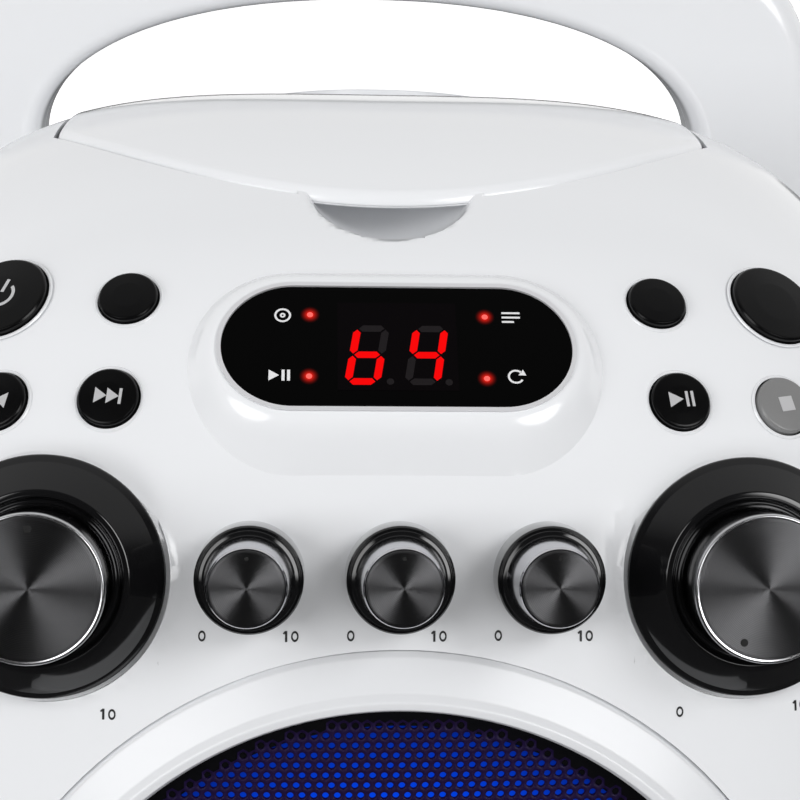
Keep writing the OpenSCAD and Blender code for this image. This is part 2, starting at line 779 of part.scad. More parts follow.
module optical_pickup() {
    pitch = PI * rack_m;
    color([0.2, 0.2, 0.22]) translate([0, disc_y, 0]) difference() {
        union() {
            translate([16, -12.5, rail_z - 3]) cube([22, 25, 6]);
            translate([19, -9, rail_z]) cube([16, 18, disc_plane - 3.4 - rail_z]);
            for (y = rail_y) translate([20, y - 3, rail_z - 3]) cube([14, 6, 6]);
            translate([20, rail_y[0], rail_z - 3]) cube([14, 40, 4]);
            translate([-6, rack_y + 1.15 * rack_m, rack_z[0]]) cube([42, 2, rack_z[1] - rack_z[0]]);
            translate([0, 0, rack_z[0]]) linear_extrude(rack_z[1] - rack_z[0])
                for (i = [-14 : 1]) translate([gear_pos[0] + (i + 0.5) * pitch, rack_y])
                    polygon([[-0.36 * pitch, 1.3 * rack_m], [-0.21 * pitch, 0], [-0.1 * pitch, -0.7 * rack_m],
                        [0.1 * pitch, -0.7 * rack_m], [0.21 * pitch, 0], [0.36 * pitch, 1.3 * rack_m]]);
        }
        for (y = rail_y) translate([0, y, rail_z]) rotate([0, 90, 0]) cylinder(r = 1.5 + fit_gap, h = 90);
    }
}

module pickup_lens() {
    color([0.5, 0.6, 0.9]) translate([27, disc_y, disc_plane - 3.4]) {
        cylinder(r = 3.6, h = 0.8);
        translate([0, 0, 0.8]) cylinder(r1 = 3, r2 = 1.6, h = 0.8);
    }
}

module guide_rails() {
    color("silver") translate([0, disc_y, 0]) for (y = rail_y)
        translate([rail_x[0] - 2, y, rail_z]) rotate([0, 90, 0])
            cylinder(r = 1.5, h = rail_x[1] - rail_x[0] + 4);
}

module sled_gear() {
    color([0.95, 0.95, 0.9]) translate([gear_pos[0], disc_y + gear_pos[1], 0]) difference() {
        union() {
            translate([0, 0, rack_z[0] - 0.2]) linear_extrude(2.4) gear_outline(rack_m, pinion_teeth, 90);
            translate([0, 0, rack_z[0] - 2.4]) linear_extrude(2) gear_outline(gear_m, wheel_teeth, 0);
            translate([0, 0, rack_z[0] - 0.5]) cylinder(r = 4, h = 0.4);
            translate([0, 0, rack_z[0] - 2.4]) cylinder(r = 1.45, h = plate_z + 1 - rack_z[0] + 2.4);
        }
    }
}

module motor_pinion() {
    color([0.95, 0.95, 0.9]) translate([driver_pos[0], disc_y + driver_pos[1], rack_z[0] - 2.4])
        difference() {
            linear_extrude(2) gear_outline(gear_m, driver_teeth, 18);
            translate([0, 0, -1]) cylinder(r = 0.8, h = 4);
        }
}

module sled_motor() {
    color("silver") translate([driver_pos[0], disc_y + driver_pos[1], 0]) {
        translate([0, 0, rack_z[0] - 15]) cylinder(r = 8, h = 12);
        translate([0, 0, rack_z[0] - 4]) cylinder(r = 0.75, h = 3.8);
        translate([-11, -3, rack_z[0] - 3.4]) cube([14, 6, 0.6]);
        translate([-3, -11, rack_z[0] - 3.4]) cube([6, 14, 0.6]);
        translate([-11, -3, rack_z[0] - 3.4]) cube([2, 6, plate_z - rack_z[0] + 3.4]);
        translate([-3, -11, rack_z[0] - 3.4]) cube([6, 2, plate_z - rack_z[0] + 3.4]);
    }
}

// Small knob: a drum with a dished face, from which a barrel rises to the cap
module small_knob(x) {
    color([0.12, 0.12, 0.13]) on_row(x) translate([0, 0, seat_h + knob_gap]) difference() {
        rotate_extrude($fn = 96) polygon([[0, -shaft_l - seat_h], [shaft_r, -shaft_l - seat_h],
            [shaft_r, 0], [small_r, 0], [small_r - 0.2, drum_h - 0.8], [small_r - 1, drum_h],
            [small_cap_r + 1.6, drum_h + 0.2], [small_cap_r + 1, drum_h + 1.4], [small_cap_r + 0.5, small_h],
            [0, small_h]]);
        translate([0, 0, small_h - 0.6]) cylinder(r = small_cap_r + 0.1, h = 1);
    }
}

module small_cap(x) {
    color([0.3, 0.3, 0.32]) on_row(x) translate([0, 0, seat_h + knob_gap + small_h - 0.6]) difference() {
        union() {
            cylinder(r = small_cap_r, h = 0.9);
            translate([0, 0, 0.9]) cylinder(r1 = small_cap_r, r2 = small_cap_r - 0.4, h = 0.4);
        }
        translate([0, small_cap_r - 2, 2.3]) sphere(1.4);
    }
}

// Large knob: a wide dished flange with a barrel in its middle
module large_knob(x) {
    color([0.08, 0.08, 0.09]) on_row(x) translate([0, 0, seat_h + knob_gap]) difference() {
        rotate_extrude($fn = 96) polygon([[0, -shaft_l - seat_h], [shaft_r, -shaft_l - seat_h],
            [shaft_r, 0], [large_r, 0], [large_r, 1.2], [large_r - 1.2, 2.6],
            [large_barrel_r + 2.4, 7.6], [large_barrel_r + 1, 7.6], [large_barrel_r + 0.4, 6.2],
            [large_barrel_r - 0.2, 6.2], [large_cap_r + 0.8, large_h], [0, large_h]]);
        translate([0, 0, large_h - 0.6]) cylinder(r = large_cap_r + 0.1, h = 1);
    }
}

module large_cap(x, turn) {
    color([0.3, 0.3, 0.32]) on_row(x) translate([0, 0, seat_h + knob_gap + large_h - 0.6]) difference() {
        union() {
            cylinder(r = large_cap_r, h = 0.9);
            translate([0, 0, 0.9]) cylinder(r1 = large_cap_r, r2 = large_cap_r - 0.6, h = 0.6);
        }
        rotate([0, 0, turn]) translate([0, large_cap_r - 3, 2.6]) sphere(1.6);
    }
}

module mic_volume_knob() { large_knob(-large_x); }
module mic_volume_cap() { large_cap(-large_x, 0); }
module master_volume_knob() { large_knob(large_x); }
module master_volume_cap() { large_cap(large_x, 155); }
module echo_knob() { small_knob(-small_pitch); }
module echo_cap() { small_cap(-small_pitch); }
module talk_over_knob() { small_knob(0); }
module talk_over_cap() { small_cap(0); }
module balance_knob() { small_knob(small_pitch); }
module balance_cap() { small_cap(small_pitch); }

module potentiometers() {
    color([0.5, 0.5, 0.52]) for (x = concat(large_xs, small_xs)) on_row(x) difference() {
        union() {
            translate([-5, -6, board_t - pot_board_depth]) cube([10, 12, 6]);
            translate([0, 0, 7 - pot_board_depth]) cylinder(r = bushing_r, h = pot_board_depth - 7 - 0.4);
        }
        translate([0, 0, 3.9 - pot_board_depth]) cylinder(r = shaft_r + fit_gap, h = 40);
    }
}

module volume_board() {
    color([0.1, 0.35, 0.15]) for (x = concat(small_xs, large_xs)) on_row(x)
        translate([-9, -11, -pot_board_depth]) cube([18, 22, board_t]);
    color([0.1, 0.35, 0.15]) on_row(0) translate([-small_pitch - 12, -6, -pot_board_depth])
        cube([2 * small_pitch + 24, 12, board_t]);
}

// Push button: a slightly crowned cap, a retaining flange inside the panel and a stem
module push_button(i) {
    b = buttons[i];
    depth = stem_depth(i);
    color([0.04, 0.04, 0.05]) on_panel(b[0], b[1]) {
        translate([0, 0, -5]) cylinder(r = b[2], h = 5 + button_h - 0.5);
        translate([0, 0, button_h - 0.5]) cylinder(r1 = b[2], r2 = b[2] - 0.5, h = 0.5);
        translate([0, 0, -7]) cylinder(r = b[2] + button_flange, h = 1.4);
        translate([0, 0, -6.5]) cylinder(r = b[2], h = 2);
        translate([0, 0, switch_h + board_t + button_travel + 0.2 - depth])
            cylinder(r = 2, h = depth - switch_h - board_t - button_travel - 5.2);
    }
}

module power_button() { push_button(0); }
module repeat_button() { push_button(1); }
module previous_button() { push_button(2); }
module next_button() { push_button(3); }
module program_button() { push_button(4); }
module light_button() { push_button(5); }
module play_button() { push_button(6); }
module stop_button() { push_button(7); }

module button_boards() {
    color([0.1, 0.35, 0.15]) for (s = [0, 4]) {
        on_button_board(s) translate([-19, -17, 0]) cube([38, 34, board_t]);
        for (i = [s : s + 3]) on_panel(buttons[i][0], buttons[i][1])
            translate([0, 0, -stem_depth(i)]) cylinder(r = 3, h = switch_h + board_t);
    }
}

module main_board() {
    depth = jack_depth + 8;
    color([0.1, 0.35, 0.15]) translate([-84, plate_y - depth - board_t, jack_z - 22])
        cube([168, board_t, 70]);
    color([0.1, 0.35, 0.15]) for (x = [-76, 76], z = [jack_z - 14, jack_z + 40])
        translate([x, plate_y - wall, z]) rotate([90, 0, 0]) cylinder(r = 3, h = depth - wall);
}

module mic_jacks() {
    color("black") for (x = jack_xs) translate([x, plate_y + 1.5, jack_z]) rotate([90, 0, 0]) difference() {
        union() {
            cylinder(r = 7.6, h = 1.5);
            cylinder(r = 6, h = jack_depth + 3);
        }
        translate([0, 0, -1]) cylinder(r = jack_r, h = jack_depth + 1);
    }
}

module rca_jacks() {
    color([0.8, 0.7, 0.2]) for (x = rca_xs) translate([x, plate_y, jack_z]) rotate([90, 0, 0]) {
        translate([0, 0, -8]) difference() {
            cylinder(r = 4.2, h = 9);
            translate([0, 0, -1]) cylinder(r = 1.6, h = 9);
        }
        translate([0, 0, 0]) cylinder(r = 4.6, h = 12.4);
        translate([0, 0, -2]) cylinder(r = 5.8, h = 2);
    }
}

module power_inlet() {
    color("black") translate([inlet_x, plate_y + 0.6, jack_z]) rotate([90, 0, 0]) difference() {
        union() {
            cylinder(r = 6.4, h = 0.6);
            cylinder(r = 5, h = 13);
        }
        translate([0, 0, -1]) cylinder(r = 2.8, h = 10);
        translate([0, 0, 8]) cylinder(r = 1, h = 1.2);
    }
    color("silver") translate([inlet_x, plate_y, jack_z]) rotate([90, 0, 0]) cylinder(r = 1, h = 9);
}

module rubber_feet() {
    color([0.1, 0.1, 0.1]) for (p = foot_places) translate([p[0], p[1], 0]) {
        cylinder(r1 = 8, r2 = 9, h = 2);
        translate([0, 0, 2]) cylinder(r = 9, h = foot_h - 2);
    }
}

module case_screws() {
    color("silver") for (p = screw_places) translate([p[0], plate_y - 7, p[1]]) rotate([90, 0, 0])
        difference() {
            union() {
                translate([0, 0, -2.4]) cylinder(r = 3.4, h = 2.4);
                cylinder(r = 1.4, h = 12);
            }
            translate([-2.2, -0.4, -3]) cube([4.4, 0.8, 1.6]);
            translate([-0.4, -2.2, -3]) cube([0.8, 4.4, 1.6]);
        }
}

front_housing();
rear_housing();
speaker_ring();
speaker_grille();
light_diffuser();
light_board();
light_leds();
speaker_frame();
speaker_surround();
speaker_cone();
dust_cap();
speaker_magnet();
display_surround();
window_trim();
display_window();
digit_display();
indicator_leds();
display_board();
disc_lid();
hinge_pins();
lid_switch();
disc_tray();
turntable();
spindle_motor();
mechanism_plate();
rubber_dampers();
optical_pickup();
pickup_lens();
guide_rails();
sled_gear();
motor_pinion();
sled_motor();
mic_volume_knob();
mic_volume_cap();
master_volume_knob();
master_volume_cap();
echo_knob();
echo_cap();
talk_over_knob();
talk_over_cap();
balance_knob();
balance_cap();
potentiometers();
volume_board();
power_button();
repeat_button();
previous_button();
next_button();
program_button();
light_button();
play_button();
stop_button();
button_boards();
main_board();
mic_jacks();
rca_jacks();
power_inlet();
rubber_feet();
case_screws();
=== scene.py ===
import math
import time

import bpy
import numpy as np
from mathutils import Matrix, Vector


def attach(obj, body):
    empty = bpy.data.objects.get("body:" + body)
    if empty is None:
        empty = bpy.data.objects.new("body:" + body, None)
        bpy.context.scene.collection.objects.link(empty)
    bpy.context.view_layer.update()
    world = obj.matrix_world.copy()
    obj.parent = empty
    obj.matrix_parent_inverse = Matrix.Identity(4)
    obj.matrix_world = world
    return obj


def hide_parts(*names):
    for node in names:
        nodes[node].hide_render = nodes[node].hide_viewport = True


startTime = time.time()


def stage(text):
    print(f"[{time.time() - startTime:6.1f} s] {text}", flush=True)


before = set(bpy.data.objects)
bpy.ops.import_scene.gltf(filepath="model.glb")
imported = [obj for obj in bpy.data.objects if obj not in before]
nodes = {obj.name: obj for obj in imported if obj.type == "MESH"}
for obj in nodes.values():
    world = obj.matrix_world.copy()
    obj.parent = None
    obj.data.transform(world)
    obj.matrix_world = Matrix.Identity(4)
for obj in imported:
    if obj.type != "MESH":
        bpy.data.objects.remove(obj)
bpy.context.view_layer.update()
stage("frame loaded")

# Shape of the body, in millimetres in the frame of the CAD part. An e is an angle round the side
# profile in degrees: 0 looks to the front and 90 looks up.
body = {
    "halfWidth": 132.0, "fullness": 3.6, "centreY": 3.2, "centreZ": 150.0,
    "rowY": -96.8, "rowZ": 202.0, "rowE": 24.5,
    "frontR": 623.0, "panelR": 122.0, "deckR": 200.0, "crownR": 120.0, "baseR": 36.0,
    "bottomE": -90.0, "lowE": 2.0, "frontE": 16.0, "deckE": 67.0, "crownE": 76.0, "rearE": 129.0,
    "backY": 116.2, "backEdge": ((7.5, 247.0), (3.0, 238.0), (0.0, 222.0)),
    "underside": 6.0, "undersideRound": 3.0, "seam": 0.15,
}
hoop = {"halfWidth": 140.0, "frontY": 99.2, "depth": 24.0, "top": 318.0, "power": 6.0, "round": 9.0,
        "blend": 20.0}
hand = {"halfWidth": 100.0, "top": 296.5, "sill": 252.0, "power": 2.2, "round": 5.0, "sillRound": 3.0,
        "reach": 8.0, "reachRound": 6.0}
partingY = hoop["frontY"] + hoop["depth"] / 2


def leanDir(e):
    e = np.radians(e)
    return np.stack([-np.cos(e), np.sin(e)], -1)


panelC = np.array([body["rowY"], body["rowZ"]]) - body["panelR"] * leanDir(body["rowE"])
frontC = panelC + (body["panelR"] - body["frontR"]) * leanDir(body["frontE"])
deckC = panelC + (body["panelR"] - body["deckR"]) * leanDir(body["deckE"])
crownC = deckC + (body["deckR"] - body["crownR"]) * leanDir(body["crownE"])
baseC = frontC + (body["frontR"] - body["baseR"]) * leanDir(body["lowE"])


def profilePoint(e):
    e = np.asarray(e, float)[..., None]
    result = crownC + body["crownR"] * leanDir(e[..., 0])
    for limit, centre, radius in (("crownE", deckC, "deckR"), ("deckE", panelC, "panelR"),
                                  ("frontE", frontC, "frontR"), ("lowE", baseC, "baseR")):
        result = np.where(e < body[limit], centre + body[radius] * leanDir(e[..., 0]), result)
    return result


def keep(u):
    return (1 - np.minimum(np.abs(u), 0.999999) ** body["fullness"]) ** (1 / body["fullness"])


def bodyPoint(x, e):
    x = np.asarray(x, float)
    k = keep(x / body["halfWidth"])
    p = profilePoint(e)
    return np.stack([x, body["centreY"] + k * (p[..., 0] - body["centreY"]),
                     body["centreZ"] + k * (p[..., 1] - body["centreZ"])], -1)


def bodyNormal(x, e):
    step = 0.01
    alongX = bodyPoint(x + step, e) - bodyPoint(x - step, e)
    alongE = bodyPoint(x, e + step) - bodyPoint(x, e - step)
    n = np.cross(alongX, alongE)
    return n / np.linalg.norm(n, axis=-1, keepdims=True)


def profileRadiusTable():
    limits = [body[key] for key in ("bottomE", "lowE", "frontE", "deckE", "rearE")]
    parts = [np.linspace(a, b, count, endpoint=b == body["rearE"])
             for a, b, count in zip(limits, limits[1:], (120, 160, 260, 160))]
    back = body["backY"]
    rearEdge = [[back - inward, z] for inward, z in body["backEdge"]]
    arc = np.radians(np.linspace(0, 90, 24))
    lowRear = np.stack([back - body["baseR"] + body["baseR"] * np.cos(arc),
                        baseC[1] - body["baseR"] * np.sin(arc)], -1)
    outline = np.concatenate([profilePoint(np.concatenate(parts)), rearEdge, lowRear])
    dense = []
    for a, b in zip(outline, np.roll(outline, -1, 0)):
        count = max(2, int(np.linalg.norm(b - a)))
        dense.append(a + (b - a) * (np.arange(count) / count)[:, None])
    dense = np.concatenate(dense) - [body["centreY"], body["centreZ"]]
    angle = np.arctan2(dense[:, 1], dense[:, 0])
    order = np.argsort(angle)
    angle, radius = angle[order], np.linalg.norm(dense[order], axis=1)
    grid = np.linspace(-np.pi, np.pi, 2881)
    value = np.interp(grid, np.r_[angle[-1] - 2 * np.pi, angle, angle[0] + 2 * np.pi],
                      np.r_[radius[-1], radius, radius[0]])
    kernel = np.hanning(15)
    kernel /= kernel.sum()
    return grid, np.convolve(np.r_[value[-8:-1], value, value[1:8]], kernel, "same")[7:-7]


radiusGrid, radiusValue = profileRadiusTable()


def gauge(p):
    y, z = p[..., 1] - body["centreY"], p[..., 2] - body["centreZ"]
    s = np.hypot(y, z) / np.interp(np.arctan2(z, y), radiusGrid, radiusValue)
    n = body["fullness"]
    return (s ** n + np.abs(p[..., 0] / body["halfWidth"]) ** n) ** (1 / n) - 1


def gaugeDistance(field, p, scale):
    value = field(p)
    size = np.zeros(value.shape)
    for axis in range(3):
        step = np.zeros(3)
        step[axis] = 0.5
        size += (field(p + step) - field(p - step)) ** 2
    return value / np.maximum(np.sqrt(size), 0.2 / scale)


def smoothMin(a, b, k):
    h = np.maximum(k - np.abs(a - b), 0) / k
    return np.minimum(a, b) - h * h * k / 4


def smoothMax(a, b, k):
    return -smoothMin(-a, -b, k)


def superDistance(x, z, halfX, halfZ, power):
    a, b = np.abs(x) / halfX, np.abs(z) / halfZ
    g = (a ** power + b ** power) ** (1 / power)
    safe = np.maximum(g, 1e-3)
    gx = (a / safe) ** (power - 1) / halfX
    gz = (b / safe) ** (power - 1) / halfZ
    return (g - 1) / np.maximum(np.hypot(gx, gz), 1 / (2 * max(halfX, halfZ)))


def domeDistance(p):
    return gaugeDistance(gauge, p, 130.0)


def hoopDistance(p):
    halfZ = (hoop["top"] - body["underside"]) / 2
    midZ = (hoop["top"] + body["underside"]) / 2
    a = superDistance(p[..., 0], p[..., 2] - midZ, hoop["halfWidth"], halfZ, hoop["power"]) + hoop["round"]
    b = np.abs(p[..., 1] - partingY) - hoop["depth"] / 2 + hoop["round"]
    return np.minimum(np.maximum(a, b), 0) + np.hypot(np.maximum(a, 0), np.maximum(b, 0)) - hoop["round"]


def handDistance(p):
    half = hand["top"] - hand["sill"]
    aboveSill = np.maximum(p[..., 2] - hand["sill"], 0)
    arch = superDistance(p[..., 0], aboveSill, hand["halfWidth"], half, hand["power"])
    opening = smoothMax(arch, hand["sill"] - p[..., 2], hand["sillRound"])
    return smoothMax(opening, hoop["frontY"] - hand["reach"] - p[..., 1], hand["reachRound"])


scoop = {"centre": (0.0, -32.2, 273.6), "radius": 20.5, "round": 1.2, "bowlRadius": 22.6}
largeKnob = {"xs": (-69.5, 69.5), "seatRadius": 24.8, "seatHeight": 1.2, "recessTop": 30.0, "segments": 128,
             "blendInset": 1.8, "blendDepth": -20.0, "blend": 5.0, "blendReach": 45.0}
smallKnob = {"xs": (-29.1, 0.0, 29.1), "seatRadius": 11.3, "seatHeight": 1.2, "recessTop": 22.0,
             "segments": 96}
knobRow = {"slope": 16.5, "outerFrom": 50.0, "gap": 0.8}


# The up and outward directions of a plane that leans back by so many degrees.
def upAndOut(lean):
    a = math.radians(lean)
    return np.array([0, math.sin(a), math.cos(a)]), np.array([0, -math.cos(a), math.sin(a)])


def rowFrame(x):
    p = bodyPoint(x if abs(x) > knobRow["outerFrom"] else 0.0, body["rowE"])
    return np.array([x, p[1], p[2]]), np.array([1.0, 0, 0]), *upAndOut(knobRow["slope"])


def seatDistance(p, x, radius, low, high):
    origin, across, up, normal = rowFrame(x)
    d = p - origin
    r = np.hypot(d @ across, d @ up) - radius
    h = d @ normal
    return np.maximum(r, np.maximum(low - h, h - high))


def housingField(p):
    d = smoothMin(domeDistance(p), hoopDistance(p), hoop["blend"])
    for x in largeKnob["xs"]:
        near = np.abs(p[..., 0] - x) < largeKnob["blendReach"]
        seat = seatDistance(p, x, largeKnob["seatRadius"] - largeKnob["blendInset"], largeKnob["blendDepth"],
                            largeKnob["seatHeight"])
        d = np.where(near, smoothMin(d, seat, largeKnob["blend"]), d)
    d = smoothMax(d, -handDistance(p), hand["round"])
    ball = np.linalg.norm(p - np.array(scoop["centre"]), axis=-1) - scoop["radius"]
    d = smoothMax(d, -ball, scoop["round"])
    return smoothMax(d, body["underside"] - p[..., 2], body["undersideRound"])


# Turns a distance field into four-sided faces, with one point in each cell that the surface crosses.
def meshField(field, low, high, cell):
    axes = [np.arange(a, b + cell, cell) for a, b in zip(low, high)]
    count = [len(a) for a in axes]
    value = np.empty(count, np.float32)
    for i, x in enumerate(axes[0]):
        p = np.stack(np.meshgrid([x], axes[1], axes[2], indexing="ij"), -1)
        value[i] = field(p)[0]
    inside = value < 0
    total = np.zeros([n - 1 for n in count], np.int8)
    for i, j, k in np.ndindex(2, 2, 2):
        total += inside[i:count[0] - 1 + i, j:count[1] - 1 + j, k:count[2] - 1 + k]
    crossing = (total > 0) & (total < 8)
    index = -np.ones(crossing.shape, np.int64)
    index[crossing] = np.arange(crossing.sum())
    points = (np.argwhere(crossing) + 0.5) * cell + np.array(low)
    faces = []
    for axis, (u, v) in enumerate(((1, 2), (2, 0), (0, 1))):
        first = inside.take(range(0, count[axis] - 1), axis)
        second = inside.take(range(1, count[axis]), axis)
        for flip, edge in ((False, first & ~second), (True, ~first & second)):
            where = np.argwhere(edge)
            a, b = where[:, u], where[:, v]
            where = where[(a > 0) & (b > 0) & (a < count[u] - 1) & (b < count[v] - 1)]
            corners = []
            for du, dv in ((1, 1), (0, 1), (0, 0), (1, 0)):
                q = where.copy()
                q[:, u] -= du
                q[:, v] -= dv
                corners.append(index[q[:, 0], q[:, 1], q[:, 2]])
            quad = np.stack(corners, -1)
            faces.append(quad[:, ::-1] if flip else quad)
    faces = np.concatenate(faces)
    faces = faces[(faces >= 0).all(1)]
    for _ in range(6):
        points = projectPoints(field, points, cell)
    return points, faces


def fieldGradient(field, points, step=0.05):
    gradient = np.empty(points.shape)
    for axis in range(3):
        d = np.zeros(3)
        d[axis] = step
        gradient[:, axis] = (field(points + d) - field(points - d)) / (2 * step)
    return gradient


def projectPoints(field, points, limit):
    gradient = fieldGradient(field, points)
    square = np.maximum((gradient ** 2).sum(1), 0.04)
    move = -(field(points) / square)[:, None] * gradient
    length = np.linalg.norm(move, axis=1, keepdims=True)
    return points + move * np.minimum(1, limit / np.maximum(length, 1e-9))


# Materials


def newMaterial(name):
    material = bpy.data.materials.new(name)
    material.use_nodes = True
    return material, material.node_tree.nodes["Principled BSDF"], material.node_tree


def setInputs(node, values):
    for socket, value in values.items():
        node.inputs[socket].default_value = value
    return node


def addNode(tree, kind, values=None, **settings):
    node = tree.nodes.new("ShaderNode" + kind)
    for key, value in settings.items():
        setattr(node, key, value)
    return setInputs(node, values or {})


def wire(tree, *links):
    for source, output, target, socket in links:
        tree.links.new(source.outputs[output], target.inputs[socket])


def principled(name, colour, roughness, metallic=0.0, coat=0.0, coatRoughness=0.03, specular=0.5):
    material, shader, _tree = newMaterial(name)
    setInputs(shader, {"Base Color": (*colour, 1), "Roughness": roughness, "Metallic": metallic, "IOR": 1.5,
                       "Specular IOR Level": specular, "Coat Weight": coat, "Coat Roughness": coatRoughness})
    return material


def glowing(name, colour, strength, base=(0.02, 0.02, 0.02), specular=0.5):
    material = principled(name, base, 0.4, specular=specular)
    setInputs(material.node_tree.nodes["Principled BSDF"],
              {"Emission Color": (*colour, 1), "Emission Strength": strength})
    return material


def makeGrainGroup():
    group = bpy.data.node_groups.new("fineGrain", "ShaderNodeTree")
    group.interface.new_socket("Scale", in_out="INPUT", socket_type="NodeSocketFloat")
    group.interface.new_socket("Height", in_out="INPUT", socket_type="NodeSocketFloat")
    group.interface.new_socket("Normal", in_out="OUTPUT", socket_type="NodeSocketVector")
    enter = group.nodes.new("NodeGroupInput")
    leave = group.nodes.new("NodeGroupOutput")
    place = addNode(group, "TexCoord")
    noise = addNode(group, "TexNoise", {"Detail": 2.0})
    bump = addNode(group, "Bump", {"Distance": 0.001})
    wire(group, (place, "Object", noise, "Vector"), (enter, "Scale", noise, "Scale"),
         (noise, "Fac", bump, "Height"), (enter, "Height", bump, "Strength"),
         (bump, "Normal", leave, "Normal"))
    return group


grainGroup = makeGrainGroup()


def addGrain(material, scale, height):
    tree = material.node_tree
    grain = addNode(tree, "Group", {"Scale": scale, "Height": height}, node_tree=grainGroup)
    wire(tree, (grain, "Normal", tree.nodes["Principled BSDF"], "Normal"))
    return material


whiteShell = principled("whiteShell", (0.80, 0.81, 0.83), 0.16, coat=0.35, coatRoughness=0.04)
whiteLid = principled("whiteLid", (0.82, 0.83, 0.85), 0.13, coat=0.4, coatRoughness=0.03)
ringWhite = principled("ringWhite", (0.74, 0.75, 0.77), 0.28, coat=0.15, coatRoughness=0.12)
knobFlange = principled("knobFlange", (0.005, 0.005, 0.0055), 0.08, coat=0.6, specular=0.4)
barrelChrome = principled("barrelChrome", (0.48, 0.48, 0.50), 0.12, metallic=1.0)
trimSilver = principled("trimSilver", (0.72, 0.72, 0.74), 0.3, metallic=0.25)
darkChrome = principled("darkChrome", (0.30, 0.30, 0.31), 0.10, metallic=1.0)
brightRim = principled("brightRim", (0.75, 0.75, 0.77), 0.18, metallic=1.0)
buttonGloss = principled("buttonGloss", (0.003, 0.003, 0.0032), 0.20, coat=0.05, specular=0.18)
stopGrey = principled("stopGrey", (0.20, 0.20, 0.20), 0.30, coat=0.1)
iconGrey = principled("iconGrey", (0.55, 0.55, 0.56), 0.35, metallic=0.2)
windowGloss = principled("windowGloss", (0.0006, 0.0006, 0.0006), 0.05, specular=0.07)
printWhite = principled("printWhite", (0.75, 0.75, 0.76), 0.4)
printBlack = principled("printBlack", (0.012, 0.012, 0.013), 0.45)
# Dark grille metal, tinted blue as painted light: the blue stands for the LEDs' glow falling on the mesh.
grilleDarkBlueLit = principled("grilleDarkBlueLit", (0.008, 0.002, 0.030), 0.45, specular=0.2)
# Near black as painted shadow: the grille's rim is darker than the dark grille to stand for the speaker
# ring's shadow over it.
rimPaintedShadow = principled("rimPaintedShadow", (0.002, 0.002, 0.003), 0.6, specular=0.1)
# Near black as painted shade: the knobs' dimples are flat dark discs for the shade in a hollow; the cutters
# carry it too.
paintedShade = principled("paintedShade", (0.01, 0.01, 0.01), 0.8)
digitLit = glowing("digitLit", (0.95, 0.0015, 0.002), 1.0, (0.004, 0.0, 0.0), 0.05)
digitOff = principled("digitOff", (0.011, 0.009, 0.010), 0.35, specular=0.15)
moduleDark = principled("moduleDark", (0.0018, 0.0012, 0.0016), 0.25, specular=0.06)
lampRed = glowing("lampRed", (1.0, 0.12, 0.10), 1.1)


# Distance from the axis of the piece, in metres.
def axisDistance(tree):
    place = addNode(tree, "TexCoord")
    flatten = addNode(tree, "VectorMath", {1: (1, 1, 0)}, operation="MULTIPLY")
    length = addNode(tree, "VectorMath", operation="LENGTH")
    wire(tree, (place, "Object", flatten, 0), (flatten, "Vector", length, 0))
    return length


# The blue light is brightest at the middle and fades out under the rim.
def makeBlueGlow():
    material = glowing("blueGlow", (0.0, 0.07, 1.0), 1.0, (0.002, 0.004, 0.03), 0.1)
    tree = material.node_tree
    fade = addNode(tree, "MapRange", {"From Min": 0.0745, "From Max": 0.050, "To Min": 0.08, "To Max": 0.95})
    wire(tree, (axisDistance(tree), "Value", fade, "Value"),
         (fade, "Result", tree.nodes["Principled BSDF"], "Emission Strength"))
    return material


blueGlow = makeBlueGlow()
boardGreen = principled("boardGreen", (0.02, 0.14, 0.05), 0.4)
darkMetal = principled("darkMetal", (0.04, 0.04, 0.045), 0.35, metallic=0.7)
rubber = addGrain(principled("rubber", (0.02, 0.02, 0.02), 0.75), 900, 0.2)
paper = principled("paper", (0.02, 0.02, 0.022), 0.8)
steel = addGrain(principled("steel", (0.55, 0.55, 0.57), 0.3, metallic=1.0), 1400, 0.08)
blackPlastic = addGrain(principled("blackPlastic", (0.015, 0.015, 0.016), 0.4), 1200, 0.15)
trayPlastic = addGrain(principled("trayPlastic", (0.35, 0.36, 0.38), 0.38), 1500, 0.12)
lensGlass = principled("lens", (0.15, 0.2, 0.5), 0.05, coat=1.0)
gearNylon = principled("gear", (0.78, 0.76, 0.68), 0.4)
brass = principled("brass", (0.75, 0.55, 0.22), 0.25, metallic=1.0)
blueLed = glowing("led", (0.05, 0.2, 1.0), 1.0)

# The solids that are shown as they are.
nodeMaterials = (
    (boardGreen, "light_board display_board volume_board button_boards main_board"),
    (steel, "hinge_pins spindle_motor mechanism_plate guide_rails sled_motor potentiometers case_screws"),
    (blackPlastic, "lid_switch turntable mic_jacks power_inlet"),
    (darkMetal, "speaker_frame speaker_magnet optical_pickup"),
    (rubber, "speaker_surround rubber_dampers rubber_feet"),
    (paper, "speaker_cone dust_cap"), (gearNylon, "sled_gear motor_pinion"), (trayPlastic, "disc_tray"),
    (trimSilver, "window_trim"), (moduleDark, "digit_display"), (lampRed, "indicator_leds"),
    (blueGlow, "light_diffuser"), (blueLed, "light_leds"), (lensGlass, "pickup_lens"), (brass, "rca_jacks"),
)
for material, names in nodeMaterials:
    for name in names.split():
        nodes[name].data.materials.clear()
        nodes[name].data.materials.append(material)

# Mesh helpers. Outlines and profiles are in millimetres, and makeMesh turns them into metres.

toMetres = 0.001


def shadeSmooth(mesh, sharpFrom):
    mesh.polygons.foreach_set("use_smooth", [True] * len(mesh.polygons))
    mesh.set_sharp_from_angle(angle=math.radians(sharpFrom))


